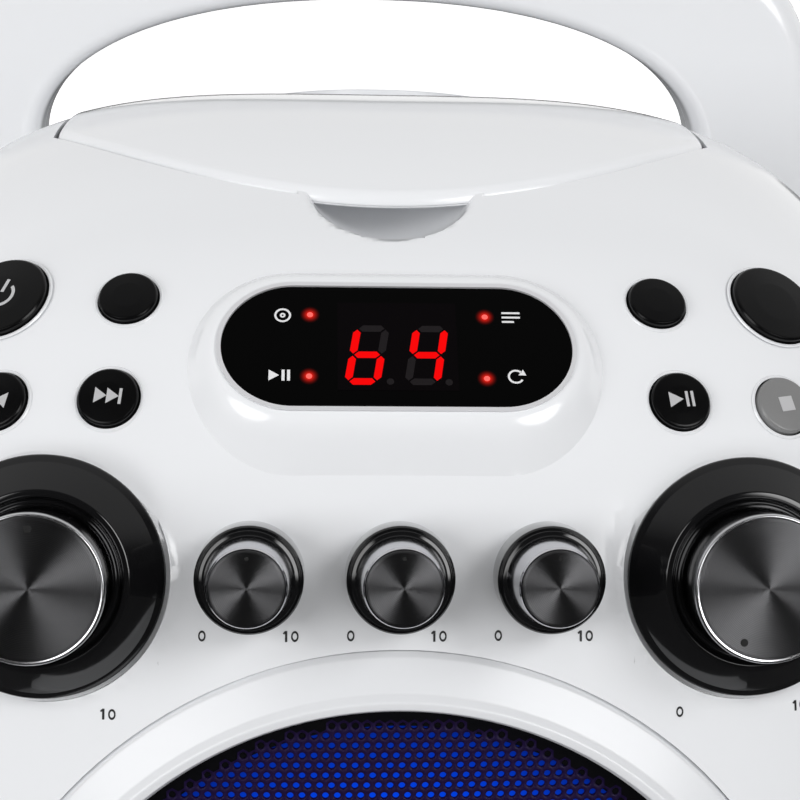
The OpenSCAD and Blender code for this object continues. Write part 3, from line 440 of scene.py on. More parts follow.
def makeMesh(name, points, faces, material, smoothAngle=None, matrix=None):
    mesh = bpy.data.meshes.new(name)
    mesh.from_pydata((np.asarray(points) * toMetres).tolist(), [], [list(map(int, f)) for f in faces])
    mesh.validate()
    mesh.materials.append(material)
    obj = bpy.data.objects.new(name, mesh)
    bpy.context.scene.collection.objects.link(obj)
    if matrix is not None:
        obj.matrix_world = matrix
    if smoothAngle is not None:
        shadeSmooth(mesh, smoothAngle)
    return obj


def frameMatrix(origin, across, up, normal):
    m = np.eye(4)
    m[:3, 0], m[:3, 1], m[:3, 2] = across, up, normal
    m[:3, 3] = np.asarray(origin, float) * toMetres
    return Matrix(m.tolist())


def panelFrame(x, e):
    normal = bodyNormal(float(x), float(e))
    across = np.cross([0, 0, 1.0], normal)
    across /= math.copysign(np.linalg.norm(across), across[0])
    return frameMatrix(bodyPoint(float(x), float(e)), across, np.cross(normal, across), normal)


def rowMatrix(x, lift=0.0):
    origin, across, up, normal = rowFrame(x)
    return frameMatrix(origin + lift * normal, across, up, normal)


# Four-sided faces between neighbouring rings of so many points.
def ringFaces(rings, size, flip=False):
    faces = []
    for a in range(0, (rings - 1) * size, size):
        b = a + size
        for i in range(size):
            j = (i + 1) % size
            faces.append((a + i, b + i, b + j, a + j) if flip else (a + i, a + j, b + j, b + i))
    return faces


def lathe(name, profile, material, matrix, segments=96, smoothAngle=32):
    profile = np.asarray(profile, float)
    angle = np.linspace(0, 2 * np.pi, segments, endpoint=False)
    points, rings = [], []
    for r, z in profile:
        if r < 1e-6:
            rings.append([len(points)])
            points.append((0, 0, z))
        else:
            rings.append(list(range(len(points), len(points) + segments)))
            points.extend(zip(r * np.cos(angle), r * np.sin(angle), np.full(segments, z)))
    faces = []
    for a, b in zip(rings[:-1], rings[1:]):
        for i in range(segments):
            j = (i + 1) % segments
            if len(a) == 1 and len(b) > 1:
                faces.append((a[0], b[j], b[i]))
            elif len(b) == 1 and len(a) > 1:
                faces.append((a[i], a[j], b[0]))
            elif len(a) > 1:
                faces.append((a[i], a[j], b[j], b[i]))
    return makeMesh(name, points, faces, material, smoothAngle, matrix)


def roundedProfile(corners, steps=6):
    result = []
    for i, corner in enumerate(corners):
        p = np.array(corner[:2], float)
        radius = corner[2] if len(corner) > 2 else 0
        if not radius or i in (0, len(corners) - 1):
            result.append(p)
            continue
        before, after = np.array(corners[i - 1][:2], float), np.array(corners[i + 1][:2], float)
        a, b = (before - p) / np.linalg.norm(before - p), (after - p) / np.linalg.norm(after - p)
        half = math.acos(np.clip(a @ b, -1, 1)) / 2
        cut = min(radius / math.tan(half), 0.48 * np.linalg.norm(before - p),
                  0.48 * np.linalg.norm(after - p))
        first, last = p + a * cut, p + b * cut
        for t in np.linspace(0, 1, steps + 1):
            result.append((1 - t) ** 2 * first + 2 * t * (1 - t) * p + t * t * last)
    return np.array(result)


def prism(name, outline, low, high, material, matrix=None):
    n = len(outline)
    points = [(x, y, low) for x, y in outline] + [(x, y, high) for x, y in outline]
    faces = [tuple(range(n - 1, -1, -1)), tuple(range(n, 2 * n))]
    faces += [(i, (i + 1) % n, n + (i + 1) % n, n + i) for i in range(n)]
    return makeMesh(name, points, faces, material, None, matrix)


def circleOutline(radius, count=96, centre=(0, 0)):
    a = np.linspace(0, 2 * np.pi, count, endpoint=False)
    return np.stack([centre[0] + radius * np.cos(a), centre[1] + radius * np.sin(a)], -1)


def stadiumOutline(halfWidth, halfHeight, count=120):
    flat = halfWidth - halfHeight
    bend = np.pi * halfHeight
    points = []
    for q in np.linspace(0, 4 * flat + 2 * bend, count, endpoint=False):
        side = 1 if q < bend + 2 * flat else -1
        q -= 0 if side > 0 else bend + 2 * flat
        t = -side * np.pi / 2 + q / halfHeight
        if q < bend:
            points.append((side * flat + halfHeight * np.cos(t), halfHeight * np.sin(t)))
        else:
            points.append((side * (flat - q + bend), side * halfHeight))
    return np.array(points)


def bar(x0, y0, x1, y1):
    return [(x0, y0), (x1, y0), (x1, y1), (x0, y1)]


def counterClockwise(outline):
    area = sum(a[0] * b[1] - b[0] * a[1] for a, b in zip(outline, outline[1:] + outline[:1]))
    return outline if area > 0 else outline[::-1]


def cutter(outline, low, high, matrix=None):
    return prism("cutter", outline, low, high, paintedShade, matrix)


def subtract(target, cutters):
    for piece in cutters:
        modifier = target.modifiers.new("cut", "BOOLEAN")
        modifier.operation = "DIFFERENCE"
        modifier.solver = "MANIFOLD"
        modifier.object = piece
    evaluated = target.evaluated_get(bpy.context.evaluated_depsgraph_get())
    mesh = bpy.data.meshes.new_from_object(evaluated)
    target.modifiers.clear()
    target.data = mesh
    for piece in cutters:
        bpy.data.objects.remove(piece)


def readArray(items, attribute, width=1, kind=float):
    values = np.empty(len(items) * width, kind)
    items.foreach_get(attribute, values)
    return values.reshape(-1, width) if width > 1 else values


# Gives the corners on the untouched surface the field's own normals, and leaves cut faces flat.
def fieldNormals(obj, field, tolerance=0.03, facing=0.55):
    mesh = obj.data
    points = readArray(mesh.vertices, "co", 3) * 1000
    gradient = fieldGradient(field, points)
    gradient /= np.maximum(np.linalg.norm(gradient, axis=1, keepdims=True), 1e-9)
    onSurface = np.abs(field(points)) < tolerance
    loopVertex = readArray(mesh.loops, "vertex_index", 1, np.int32)
    loopTotal = readArray(mesh.polygons, "loop_total", 1, np.int32)
    normal = np.repeat(readArray(mesh.polygons, "normal", 3), loopTotal, axis=0)
    wanted = gradient[loopVertex]
    use = onSurface[loopVertex] & ((normal * wanted).sum(1) > facing)
    normal = np.where(use[:, None], wanted, normal)
    mesh.polygons.foreach_set("use_smooth", [True] * len(mesh.polygons))
    mesh.normals_split_custom_set(normal.tolist())


# Housings: one outer surface from the field, parted at the seam, with the pockets cut out of it

cell = 2.0
points, faces = meshField(housingField, (-144, -134, 0), (144, 130, 324), cell)
stage(f"housing surface: {len(points)} points")

lid = {"halfWidth": 80.0, "frontRadius": 98.0, "frontY": -33.0, "rearY": 96.7, "thick": 3.0, "proud": 0.8,
       "gap": 0.6, "pocket": (221.0, 300.0), "cornerPasses": 8, "centre": (0.0, 36.0), "lip": 2.4,
       "clampY": 33.2, "clampZ": 262.0, "sharpFrom": 40, "underShares": (0.25, 0.5, 0.7, 0.85, 0.94),
       "topShares": (0.985, 0.04, 26)}


def lidOutline(grow, count=64):
    centre = lid["frontRadius"] + lid["frontY"]
    radius, half = lid["frontRadius"] + grow, lid["halfWidth"] + grow
    tip = math.asin(half / radius)
    angle = np.linspace(-tip, tip, count)
    front = np.stack([radius * np.sin(angle), centre - radius * np.cos(angle)], -1)
    rear = lid["rearY"] + grow
    return np.concatenate([front, [[half, rear], [-half, rear]]])


speaker = {
    "e": 8.2, "grilleRadius": 75.0, "ringRadius": 87.5, "ringGap": 0.2, "seat": 14.0,
    "driverRadius": 60.0, "driverDepth": 70.0,
    "ring": [(76.1, -13.9), (76.1, -3.2, 0.7), (77.1, -1.1, 0.6), (78.8, -0.7, 0.8), (80.2, -2.0, 2.0),
             (86.6, -5.0, 1.2), (87.5, -6.2, 0.5), (87.5, -13.9)],
}
speakerMatrix = frameMatrix(bodyPoint(0.0, speaker["e"]), (1, 0, 0), *upAndOut(speaker["e"]))

display = {"e": 46.0, "rise": 3.4, "tilt": 4.5, "halfWidth": 35.8, "halfHeight": 14.7, "thick": 1.5,
           "pocket": (33.0, 13.0), "pocketDepth": 11.5}
displayPoint = profilePoint(display["e"]) + display["rise"] * leanDir(display["e"])
displayMatrix = frameMatrix((0, *displayPoint), (1, 0, 0), *upAndOut(display["e"] + display["tilt"]))

# Each button: place across, place on the profile, radius.
buttons = {
    "power": (-82.5, 54.7, 9.9), "repeat": (-55.6, 52.7, 6.2), "previous": (-81.0, 42.1, 6.2),
    "next": (-58.2, 41.5, 6.2), "program": (55.6, 52.7, 6.2), "light": (82.5, 54.7, 9.9),
    "play": (58.2, 41.5, 6.2), "stop": (81.0, 42.1, 6.2),
}
smallKnobs = dict(zip(("echo", "talk_over", "balance"), smallKnob["xs"]))
largeKnobs = dict(zip(("mic_volume", "master_volume"), largeKnob["xs"]))
buttonGap = 0.35
buttonDepth = 14.0
# How far the cutters reach out over the surface, and past the body on all sides.
cutAbove = {"ring": 60, "driver": 10, "display": 30, "button": 40}
outside = {"x": 300, "y": 400.0, "z": (-50, 450)}


def halfShell(name, low, high):
    shell = makeMesh(name, points, faces, whiteShell)
    return shell, [cutter(bar(-outside["x"], low, outside["x"], high), *outside["z"])]


frontShell, frontCuts = halfShell("frontShell", partingY - body["seam"], outside["y"])
lidPocket = cutter(lidOutline(lid["gap"]), *lid["pocket"])
bowlProfile = [(scoop["bowlRadius"] * math.sin(a), -scoop["bowlRadius"] * math.cos(a))
               for a in np.linspace(0, np.pi, 49)]
bowl = lathe("bowl", bowlProfile, paintedShade, Matrix.Translation([c * toMetres for c in scoop["centre"]]), 96)
subtract(lidPocket, [bowl])
frontCuts.append(lidPocket)
for knob in (largeKnob, smallKnob):
    for x in knob["xs"]:
        seat = circleOutline(knob["seatRadius"], knob["segments"])
        frontCuts.append(cutter(seat, knob["seatHeight"], knob["recessTop"], rowMatrix(x)))
ringPocket = circleOutline(speaker["ringRadius"] + speaker["ringGap"], 128)
frontCuts.append(cutter(ringPocket, -speaker["seat"], cutAbove["ring"], speakerMatrix))
driverHole = circleOutline(speaker["driverRadius"], 96)
frontCuts.append(cutter(driverHole, -speaker["driverDepth"], cutAbove["driver"], speakerMatrix))
displayPocket = stadiumOutline(*display["pocket"])
frontCuts.append(cutter(displayPocket, -display["pocketDepth"], cutAbove["display"], displayMatrix))
for x, e, radius in buttons.values():
    outline = circleOutline(radius + buttonGap, 64)
    frontCuts.append(cutter(outline, -buttonDepth, cutAbove["button"], panelFrame(x, e)))
subtract(frontShell, frontCuts)
stage("front housing cut")
fieldNormals(frontShell, housingField)
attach(frontShell, "housing")
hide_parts("front_housing")

rear = {
    "plateY": 123.2, "cutTop": 12.0, "jackZ": 84.0, "jackDepth": 9.0,
    "ventX": [-70 + 7 * i for i in range(21)], "ventZ": (150.0, 194.0), "ventHalf": 1.5, "ventDepth": 8.0,
    "screws": [(-119, 60), (119, 60), (-119, 150), (119, 150), (-116, 240), (116, 240), (0, 307)],
    "screwRadius": 3.7, "screwDepth": 7.0,
    "jacks": ((-60, 6.05), (-40, 6.05), (-8, 4.65), (8, 4.65), (24, 4.65), (60, 5.05)),
}
backMatrix = frameMatrix((0, rear["plateY"], 0), (-1, 0, 0), (0, 0, 1), (0, 1, 0))
rearShell, rearCuts = halfShell("rearShell", -outside["y"], partingY + body["seam"])
holes = [(circleOutline(rear["screwRadius"], 32, (-x, z)), rear["screwDepth"]) for x, z in rear["screws"]]
ventLow, ventHigh = rear["ventZ"]
for x in rear["ventX"]:
    holes.append((bar(-x - rear["ventHalf"], ventLow, -x + rear["ventHalf"], ventHigh), rear["ventDepth"]))
for x, radius in rear["jacks"]:
    holes.append((circleOutline(radius, 48, (-x, rear["jackZ"])), rear["jackDepth"]))
rearCuts += [cutter(outline, -depth, rear["cutTop"], backMatrix) for outline, depth in holes]
subtract(rearShell, rearCuts)
fieldNormals(rearShell, housingField)
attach(rearShell, "housing")
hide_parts("rear_housing")
stage("rear housing cut")

# Lid


# Points of the dome above the given places, moved out by the offset.
def domeHeight(xy, offset, startZ=262.0, rise=0.1, flattest=0.15, longest=6.0):
    p = np.column_stack([xy, np.full(len(xy), startZ)])
    for _ in range(14):
        value = domeDistance(p) - offset
        slope = (domeDistance(p + [0, 0, rise]) - offset - value) / rise
        p[:, 2] -= np.clip(value / np.where(np.abs(slope) < flattest, flattest, slope), -longest, longest)
    return p


def denseOutline(outline, step):
    result = []
    for a, b in zip(outline, np.roll(outline, -1, 0)):
        count = max(1, int(round(np.linalg.norm(b - a) / step)))
        result.append(a + (b - a) * (np.arange(count) / count)[:, None])
    return np.concatenate(result)


def roundCorners(outline, passes):
    middle = denseOutline(outline, 1.0)
    for _ in range(passes):
        middle = (np.roll(middle, 1, 0) + 2 * middle + np.roll(middle, -1, 0)) / 4
    return middle


lidEdge = roundCorners(lidOutline(0.0, 90), lid["cornerPasses"])
lidCentre = np.array(lid["centre"])
direction = lidCentre - lidEdge
direction /= np.linalg.norm(direction, axis=1, keepdims=True)
loopSize = len(lidEdge)
outerDrops = [(0.0, lid["proud"] - lid["thick"] * 0.72), (0.0, lid["proud"] - lid["lip"])]
for angle in np.linspace(0, 90, 9)[1:]:
    a = math.radians(angle)
    outerDrops.append((lid["lip"] * (1 - math.cos(a)), lid["proud"] - lid["lip"] * (1 - math.sin(a))))
innerDrops = [(lid["thick"] * 0.8, lid["proud"] - lid["thick"]), (0.5, lid["proud"] - lid["thick"]),
              (0.0, lid["proud"] - lid["thick"] * 0.85)]


# One ring of the lid: pulled in from the edge, then shrunk towards the centre.
def lidLoop(inset, offset, share=None):
    xy = lidEdge + direction * inset
    if share is not None:
        xy = lidCentre + (xy - lidCentre) * share
    return domeHeight(xy, offset)


loops = [lidLoop(0, lid["proud"] - lid["thick"], share) for share in lid["underShares"]]
loops += [lidLoop(inset, offset) for inset, offset in innerDrops + outerDrops]
loops += [lidLoop(lid["lip"], lid["proud"], share) for share in np.linspace(*lid["topShares"])]
lidPoints = np.concatenate(loops + [domeHeight(lidCentre[None], lid["proud"]),
                                    domeHeight(lidCentre[None], lid["proud"] - lid["thick"])])
last = (len(loops) - 1) * loopSize
lidFaces = ringFaces(len(loops), loopSize)
for i in range(loopSize):
    j = (i + 1) % loopSize
    lidFaces += [(last + i, last + j, last + loopSize), (j, i, last + loopSize + 1)]
lidShell = makeMesh("lidShell", lidPoints, lidFaces, whiteLid)
hinge = {"y": 95.2, "z": 253.5, "pin": 1.25, "knuckle": 2.6, "from": 46.0, "to": 52.3,
         "postFrom": 53.0, "postTo": 59.0, "postGap": 0.4, "notchFront": 4.4, "notchRear": 8.0,
         "notchZ": (244, 276), "webFront": 7.0, "webRear": 1.2, "webBelow": 1.2, "webAbove": 1.4}
lidNotches = []
for x in (hinge["postFrom"] - hinge["postGap"], -hinge["postTo"] - hinge["postGap"]):
    width = hinge["postTo"] - hinge["postFrom"] + 2 * hinge["postGap"]
    notch = bar(x, hinge["y"] - hinge["notchFront"], x + width, hinge["y"] + hinge["notchRear"])
    lidNotches.append(cutter(notch, *hinge["notchZ"]))
subtract(lidShell, lidNotches)
shadeSmooth(lidShell.data, lid["sharpFrom"])
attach(lidShell, "lid")
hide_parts("disc_lid")
clampHeight = float(domeHeight(np.array([[0.0, lid["clampY"]]]), -2.0)[0, 2])
clampProfile = [(32, clampHeight), (32, lid["clampZ"] + 0.4), (33, lid["clampZ"]), (34, lid["clampZ"] + 0.4),
                (34, clampHeight)]
clampRing = lathe("clampRing", clampProfile, whiteLid, Matrix.Translation((0, lid["clampY"] * toMetres, 0)))
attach(clampRing, "lid")
barrelLength = hinge["to"] - hinge["from"]
bore = hinge["pin"] + 0.05
barrelProfile = bar(bore, 0, hinge["knuckle"], barrelLength) + [(bore, 0)]
for start in (-hinge["to"], hinge["from"]):
    matrix = frameMatrix((start, hinge["y"], hinge["z"]), (0, 1, 0), (0, 0, 1), (1, 0, 0))
    barrel = lathe("lidBarrel", barrelProfile, whiteLid, matrix, 48)
    outline = bar(start, hinge["y"] - hinge["webFront"], start + barrelLength, hinge["y"] - hinge["webRear"])
    web = prism("lidWeb", outline, hinge["z"] - hinge["webBelow"], hinge["z"] + hinge["webAbove"], whiteLid)
    for piece in (barrel, web):
        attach(piece, "lid")
stage("lid made")

# Speaker ring, grille and glow

ring = lathe("ringTrim", roundedProfile(speaker["ring"], 6)[::-1], ringWhite, speakerMatrix, 160, 40)
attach(ring, "housing")
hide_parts("speaker_ring")

grille = {"pitch": 2.35, "hole": 0.70, "bevel": 0.12, "holeRim": 72.8, "thick": 0.8,
          "centreZ": -4.4, "drop": 3.8, "glowBehind": 1.6, "glowRadii": (74.9, 60, 45, 30, 15, 0),
          "rim": ((71.2, -0.3), (72.8, -0.12), (76.05, 0.1))}


def grilleHeight(r):
    return grille["centreZ"] - grille["drop"] * (r / speaker["grilleRadius"]) ** 2


# Every hole is a cell of twelve corners: its rim, a bevelled edge and the wall of the hole.
def makeGrille():
    pitch, hole, bevel = grille["pitch"], grille["hole"], grille["bevel"]
    angle = np.radians(np.arange(12) * 30.0)
    circle = np.stack([np.cos(angle), np.sin(angle)], -1)
    outer = np.where(np.arange(12) % 2 == 0, pitch / 2, pitch / math.sqrt(3))
    rim, soft, inner = outer[:, None] * circle, (hole + bevel) * circle, hole * circle
    centres = []
    span = int(grille["holeRim"] / pitch) + 2
    for row in range(-span * 2, span * 2 + 1):
        for column in range(-span, span + 1):
            centre = ((column + 0.5 * (row % 2)) * pitch, row * pitch * math.sqrt(3) / 2)
            if math.hypot(*centre) < grille["holeRim"]:
                centres.append(centre)
    centres = np.array(centres)
    layers = []
    for shape, lift in ((rim, 0.0), (soft, 0.0), (inner, -bevel), (inner, -grille["thick"])):
        xy = centres[:, None, :] + shape[None]
        z = grilleHeight(np.linalg.norm(xy, axis=-1)) + lift
        layers.append(np.concatenate([xy, z[..., None]], -1))
    points = np.concatenate(layers, 1).reshape(-1, 3)
    faces = np.arange(len(centres))[:, None, None] * 48 + np.array(ringFaces(4, 12))[None]
    # The mesh's blue tint is painted light from the LEDs.
    return makeMesh("grilleMesh", points, faces.reshape(-1, 4), grilleDarkBlueLit, 50, speakerMatrix)


grilleMesh = makeGrille()
rimProfile = [(r, grilleHeight(min(r, speaker["grilleRadius"])) + lift) for r, lift in grille["rim"]]
# The rim is painted near black as the shadow under the speaker ring.
grilleRim = lathe("grilleRim", rimProfile[::-1], rimPaintedShadow, speakerMatrix, 160)
glowProfile = [(r, grilleHeight(r) - grille["glowBehind"]) for r in grille["glowRadii"]]
glow = lathe("grilleGlow", glowProfile, blueGlow, speakerMatrix, 96)
for piece in (grilleMesh, grilleRim):
    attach(piece, "housing")
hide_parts("speaker_grille")
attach(glow, "housing")
stage("grille made")

# Display: the raised surround, the window, the digits and the lamps

surround = {"baseWidth": 44.2, "baseHeight": 23.0, "baseShift": -2.4, "clear": 0.05, "trim": 0.9, "edge": 2.9,
            "wall": 6.0, "drop": 5.75, "tilt": 6.0, "bend": 0.42, "spread": 0.35, "count": 160}


# Rings from the window's wall over the rounded edge and down the slope into the housing.
def makeSurround():
    count = surround["count"]
    wide, high = display["halfWidth"], display["halfHeight"]
    window, first, corner = (np.column_stack([stadiumOutline(wide + grow, high + grow, count),
                                              np.zeros(count)])
                             for grow in (surround["clear"], surround["trim"], surround["edge"]))
    base = stadiumOutline(surround["baseWidth"], surround["baseHeight"], count) + [0, surround["baseShift"]]
    slope = math.tan(math.radians(surround["tilt"])) * (base[:, 1] - surround["baseShift"])
    low = np.column_stack([base, slope - surround["drop"]])
    end = corner + (low - corner) * surround["bend"]
    rows = [window - [0, 0, surround["wall"]], window, first]
    rows += [(1 - t) ** 2 * first + 2 * t * (1 - t) * corner + t * t * end for t in np.linspace(0, 1, 12)[1:]]
    rows += [corner + (low - corner) * t for t in (0.6, 0.8, 1.0)]
    rows.append(low + (low - corner) * surround["spread"])
    faces = ringFaces(len(rows), count, True)
    return makeMesh("surroundShell", np.concatenate(rows), faces, whiteLid, 45, displayMatrix)


surroundShell = makeSurround()
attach(surroundShell, "housing")
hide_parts("display_surround")


def flat(name, outline, lift, material, matrix=displayMatrix, thick=0.06, rider="housing",
         slot="dark_window"):
    piece = prism(name, outline, lift, lift + thick, material, matrix)
    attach(piece, rider)
    return piece


paneOutline = stadiumOutline(display["halfWidth"] - 0.1, display["halfHeight"] - 0.1)
window = flat("windowPane", paneOutline, -1.45, windowGloss, thick=display["thick"])
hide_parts("display_window")
flat("digitField", bar(-12.2, -10.7, 12.2, 10.7), 0.06, moduleDark)

digit = {"height": 14.4, "width": 7.3, "bar": 1.55, "gap": 0.28, "slant": 9.0, "lift": 0.13, "thick": 0.02,
         "centres": ((-6.2, -2.2), (5.9, -2.2)), "dots": ((-1.6, -8.6), (10.2, -8.7)), "dotRadius": 0.75}
segmentsOf = {"6": "cdefg", "4": "bcfg"}


def segmentOutline(key):
    w, h, b, g = digit["width"] / 2, digit["height"] / 2, digit["bar"] / 2, digit["gap"]
    if key in "adg":
        y = {"a": h - b, "d": -h + b, "g": 0.0}[key]
        outline = [(-w + b + g, y), (-w + 2 * b + g, y + b), (w - 2 * b - g, y + b), (w - b - g, y),
                   (w - 2 * b - g, y - b), (-w + 2 * b + g, y - b)]
    else:
        x = w - b if key in "bc" else -w + b
        lowY, highY = (g, h - b - g) if key in "bf" else (-h + b + g, -g)
        outline = [(x, lowY), (x + b, lowY + b), (x + b, highY - b), (x, highY),
                   (x - b, highY - b), (x - b, lowY + b)]
    shear = math.tan(math.radians(digit["slant"]))
    return counterClockwise([(x + shear * y, y) for x, y in outline])


for (cx, cy), shown in zip(digit["centres"], "64"):
    for key in "abcdefg":
        outline = [(x + cx, y + cy) for x, y in segmentOutline(key)]
        light = digitLit if key in segmentsOf[shown] else digitOff
        flat("segment", outline, digit["lift"], light, thick=digit["thick"], slot="digit_body")
for centre in digit["dots"]:
    outline = circleOutline(digit["dotRadius"], 24, centre)
    flat("decimalDot", outline, digit["lift"], digitOff, thick=digit["thick"], slot="digit_body")

lamps = {"places": ((-17.8, 7.6), (18.2, 7.4), (-17.9, -7.4), (17.9, -7.7)), "lift": 0.06,
         "halo": [(3.0, 0.0), (0, 0.0)], "dome": [(0.62, 0.01), (0.52, 0.16), (0.3, 0.24), (0, 0.27)]}


def makeHalo():
    material, shader, tree = newMaterial("lampHalo")
    setInputs(shader, {"Base Color": (0.0006, 0.0006, 0.0006, 1), "Roughness": 0.05,
                       "Specular IOR Level": 0.07, "Emission Color": (1.0, 0.02, 0.01, 1)})
    ramp = addNode(tree, "MapRange", {"From Min": 0.0022, "From Max": 0.0004, "To Min": 0.0, "To Max": 1.0})
    fall = addNode(tree, "Math", {1: 2.6}, operation="POWER")
    wire(tree, (axisDistance(tree), "Value", ramp, "Value"), (ramp, "Result", fall, 0),
         (fall, "Value", shader, "Emission Strength"))
    return material


lampHalo = makeHalo()
for x, y in lamps["places"]:
    matrix = displayMatrix @ Matrix.Translation((x * toMetres, y * toMetres, lamps["lift"] * toMetres))
    halo = lathe("lampGlow", lamps["halo"], lampHalo, matrix, 48)
    dome = lathe("lampDome", lamps["dome"], lampRed, matrix, 32)
    for piece in (halo, dome):
        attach(piece, "housing")


def arcOutline(radius, width, start, end, count=28):
    a = np.radians(np.linspace(start, end, count))
    outer, inner = ([(r * math.cos(t), r * math.sin(t)) for t in a]
                    for r in (radius + width / 2, radius - width / 2))
    return outer + inner[::-1]


def move(outline, x, y):
    return [(a + x, b + y) for a, b in outline]


def windowMark(outlines, x, y):
    for outline in outlines:
        flat("windowMark", move(outline, x, y), 0.06, printWhite, thick=0.03)


windowMark([arcOutline(1.5, 0.42, 0, 359, 40), arcOutline(0.4, 0.36, 0, 359, 20)], -23.4, 7.4)
windowMark([[(-2.0, -1.3), (0.1, 0), (-2.0, 1.3)], bar(0.6, -1.3, 1.2, 1.3), bar(1.7, -1.3, 2.3, 1.3)],
           -24.0, -7.2)
windowMark([bar(-1.9, 0.9, 1.9, 1.35), bar(-1.9, -0.2, 1.9, 0.25), bar(-1.9, -1.3, 0.6, -0.85)], 23.6, 7.3)
windowMark([arcOutline(1.45, 0.42, 40, 330, 36), [(0.5, 0.35), (2.1, 0.3), (1.5, 1.7)]], 23.8, -7.2)
stage("display made")

# Knobs


# Turned metal: fine rings about the axis, which stretch the reflections into bright and dark sectors.
def makeSpunMetal():
    material, shader, tree = newMaterial("spunMetal")
    setInputs(shader, {"Metallic": 1.0, "Base Color": (0.14, 0.14, 0.145, 1), "Roughness": 0.42,
                       "Anisotropic": 1.0, "Anisotropic Rotation": 0.25})
    tangent = addNode(tree, "Tangent", direction_type="RADIAL", axis="Z")
    wave = addNode(tree, "Math", {1: 2 * math.pi / 0.00032}, operation="MULTIPLY")
    sine = addNode(tree, "Math", operation="SINE")
    bump = addNode(tree, "Bump", {"Strength": 0.22, "Distance": 0.00003})
    wire(tree, (tangent, "Tangent", shader, "Tangent"), (axisDistance(tree), "Value", wave, 0),
         (wave, "Value", sine, 0), (sine, "Value", bump, "Height"), (bump, "Normal", shader, "Normal"))
    return material


spunMetal = makeSpunMetal()
# Profiles of the knobs' pieces: radius, height and corner radius, and the steps in a corner.
smallShapes = {
    "Skirt": ([(0, 0), (10.7, 0, 0.3), (10.5, 6.6, 0.5), (10.1, 7.1, 0.3), (9.95, 6.9, 0.15),
               (9.8, 6.9, 0.15), (9.55, 7.35, 0.3), (8.9, 7.5, 0.3), (8.6, 7.7)], 5, knobFlange),
    "Side": ([(8.75, 7.5), (8.6, 8.4, 0.3), (7.6, 16.3, 0.3), (7.3, 16.9, 0.25), (7.12, 16.6)], 5,
             barrelChrome),
    "Cap": ([(7.1, 16.1), (7.08, 17.35, 0.2), (6.7, 17.6, 0.2), (0, 17.6)], 4, spunMetal),
}
largeShapes = {
    "Flange": ([(0, 0), (23.85, 0, 0.4), (24.0, 1.3, 0.8), (22.6, 2.4, 2.0), (17.6, 7.4, 0.7),
                (16.4, 7.5, 0.5), (15.6, 6.0, 0.5), (14.9, 6.0)], 6, knobFlange),
    "Barrel": ([(15.0, 5.9), (14.85, 6.6, 0.3), (14.3, 16.4, 0.4), (14.2, 16.6)], 5, darkChrome),
    "Lip": ([(14.25, 16.3), (14.25, 16.9, 0.3), (13.9, 17.3, 0.3), (13.5, 17.2)], 4, brightRim),
    "Cap": ([(13.6, 16.2), (13.6, 17.15, 0.2), (12.9, 17.3, 0.3), (0, 17.3)], 4, spunMetal),
}
smallSeat = [(9.9, -9.0), (9.9, -0.3), (9.6, 0.0), (0, 0.0)]
smallDimple = [(0.42, 17.62), (0.2, 17.63), (0, 17.64)]
largeDimple = [(0.75, 17.32), (0.4, 17.33), (0, 17.34)]
dimpleAt = {"small": 5.6, "large": 11.2, "turned": {"master_volume": 155.0}}


def makeKnob(name, matrix, shapes, segments, dimple, reach):
    pieces = {part: lathe(name + part, roundedProfile(profile, steps), material, matrix, segments)
              for part, (profile, steps, material) in shapes.items()}
    turn = math.radians(dimpleAt["turned"].get(name, 0.0))
    place = Matrix.Translation((-reach * toMetres * math.sin(turn), reach * toMetres * math.cos(turn), 0))
    # The dimple is a flat dark disc over the cap: painted shade in place of a hollow.
    pieces["Dimple"] = lathe(name + "Dimple", dimple, paintedShade, matrix @ place, 24)
    for part, piece in pieces.items():
        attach(piece, name)
    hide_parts(name + "_knob")
    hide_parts(name + "_cap")


for name, x in smallKnobs.items():
    seat = lathe(name + "Seat", smallSeat, whiteShell, rowMatrix(x, smallKnob["seatHeight"]))
    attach(seat, "housing")
    matrix = rowMatrix(x, smallKnob["seatHeight"] + knobRow["gap"])
    makeKnob(name, matrix, smallShapes, smallKnob["segments"], smallDimple, dimpleAt["small"])
for name, x in largeKnobs.items():
    matrix = rowMatrix(x, largeKnob["seatHeight"] + knobRow["gap"])
    makeKnob(name, matrix, largeShapes, largeKnob["segments"], largeDimple, dimpleAt["large"])

# The plain numbers on the panel: each with its shift from the knob and its place on the profile.
dial = {"small": (("0", -9.4, 18.8), ("10", 7.9, 18.75)), "large": (("0", -13.0, 15.1), ("10", 12.6, 15.1)),
        "spacing": 1.7, "narrow": 0.68}


def dialMark(digits, x, e):
    pieces = {"0": [[(dial["narrow"] * a, b) for a, b in arcOutline(0.86, 0.44, 0, 359, 32)]],
              "1": [bar(-0.22, -1.08, 0.22, 1.08),
                    [(-0.22, 1.08), (-0.68, 0.62), (-0.42, 0.38), (-0.22, 0.58)]]}
    start = -dial["spacing"] / 2 * (len(digits) - 1)
    for place, key in enumerate(digits):
        for outline in pieces[key]:
            shifted = move(outline, start + dial["spacing"] * place, 0)
            flat("dialMark", shifted, 0.02, printBlack, panelFrame(x, e), 0.05, "housing", "black_plastic")


for size, xs in (("small", smallKnob["xs"]), ("large", largeKnob["xs"])):
    for x in xs:
        for digits, shift, e in dial[size]:
            dialMark(digits, x + shift, e)
stage("knobs made")

# Buttons

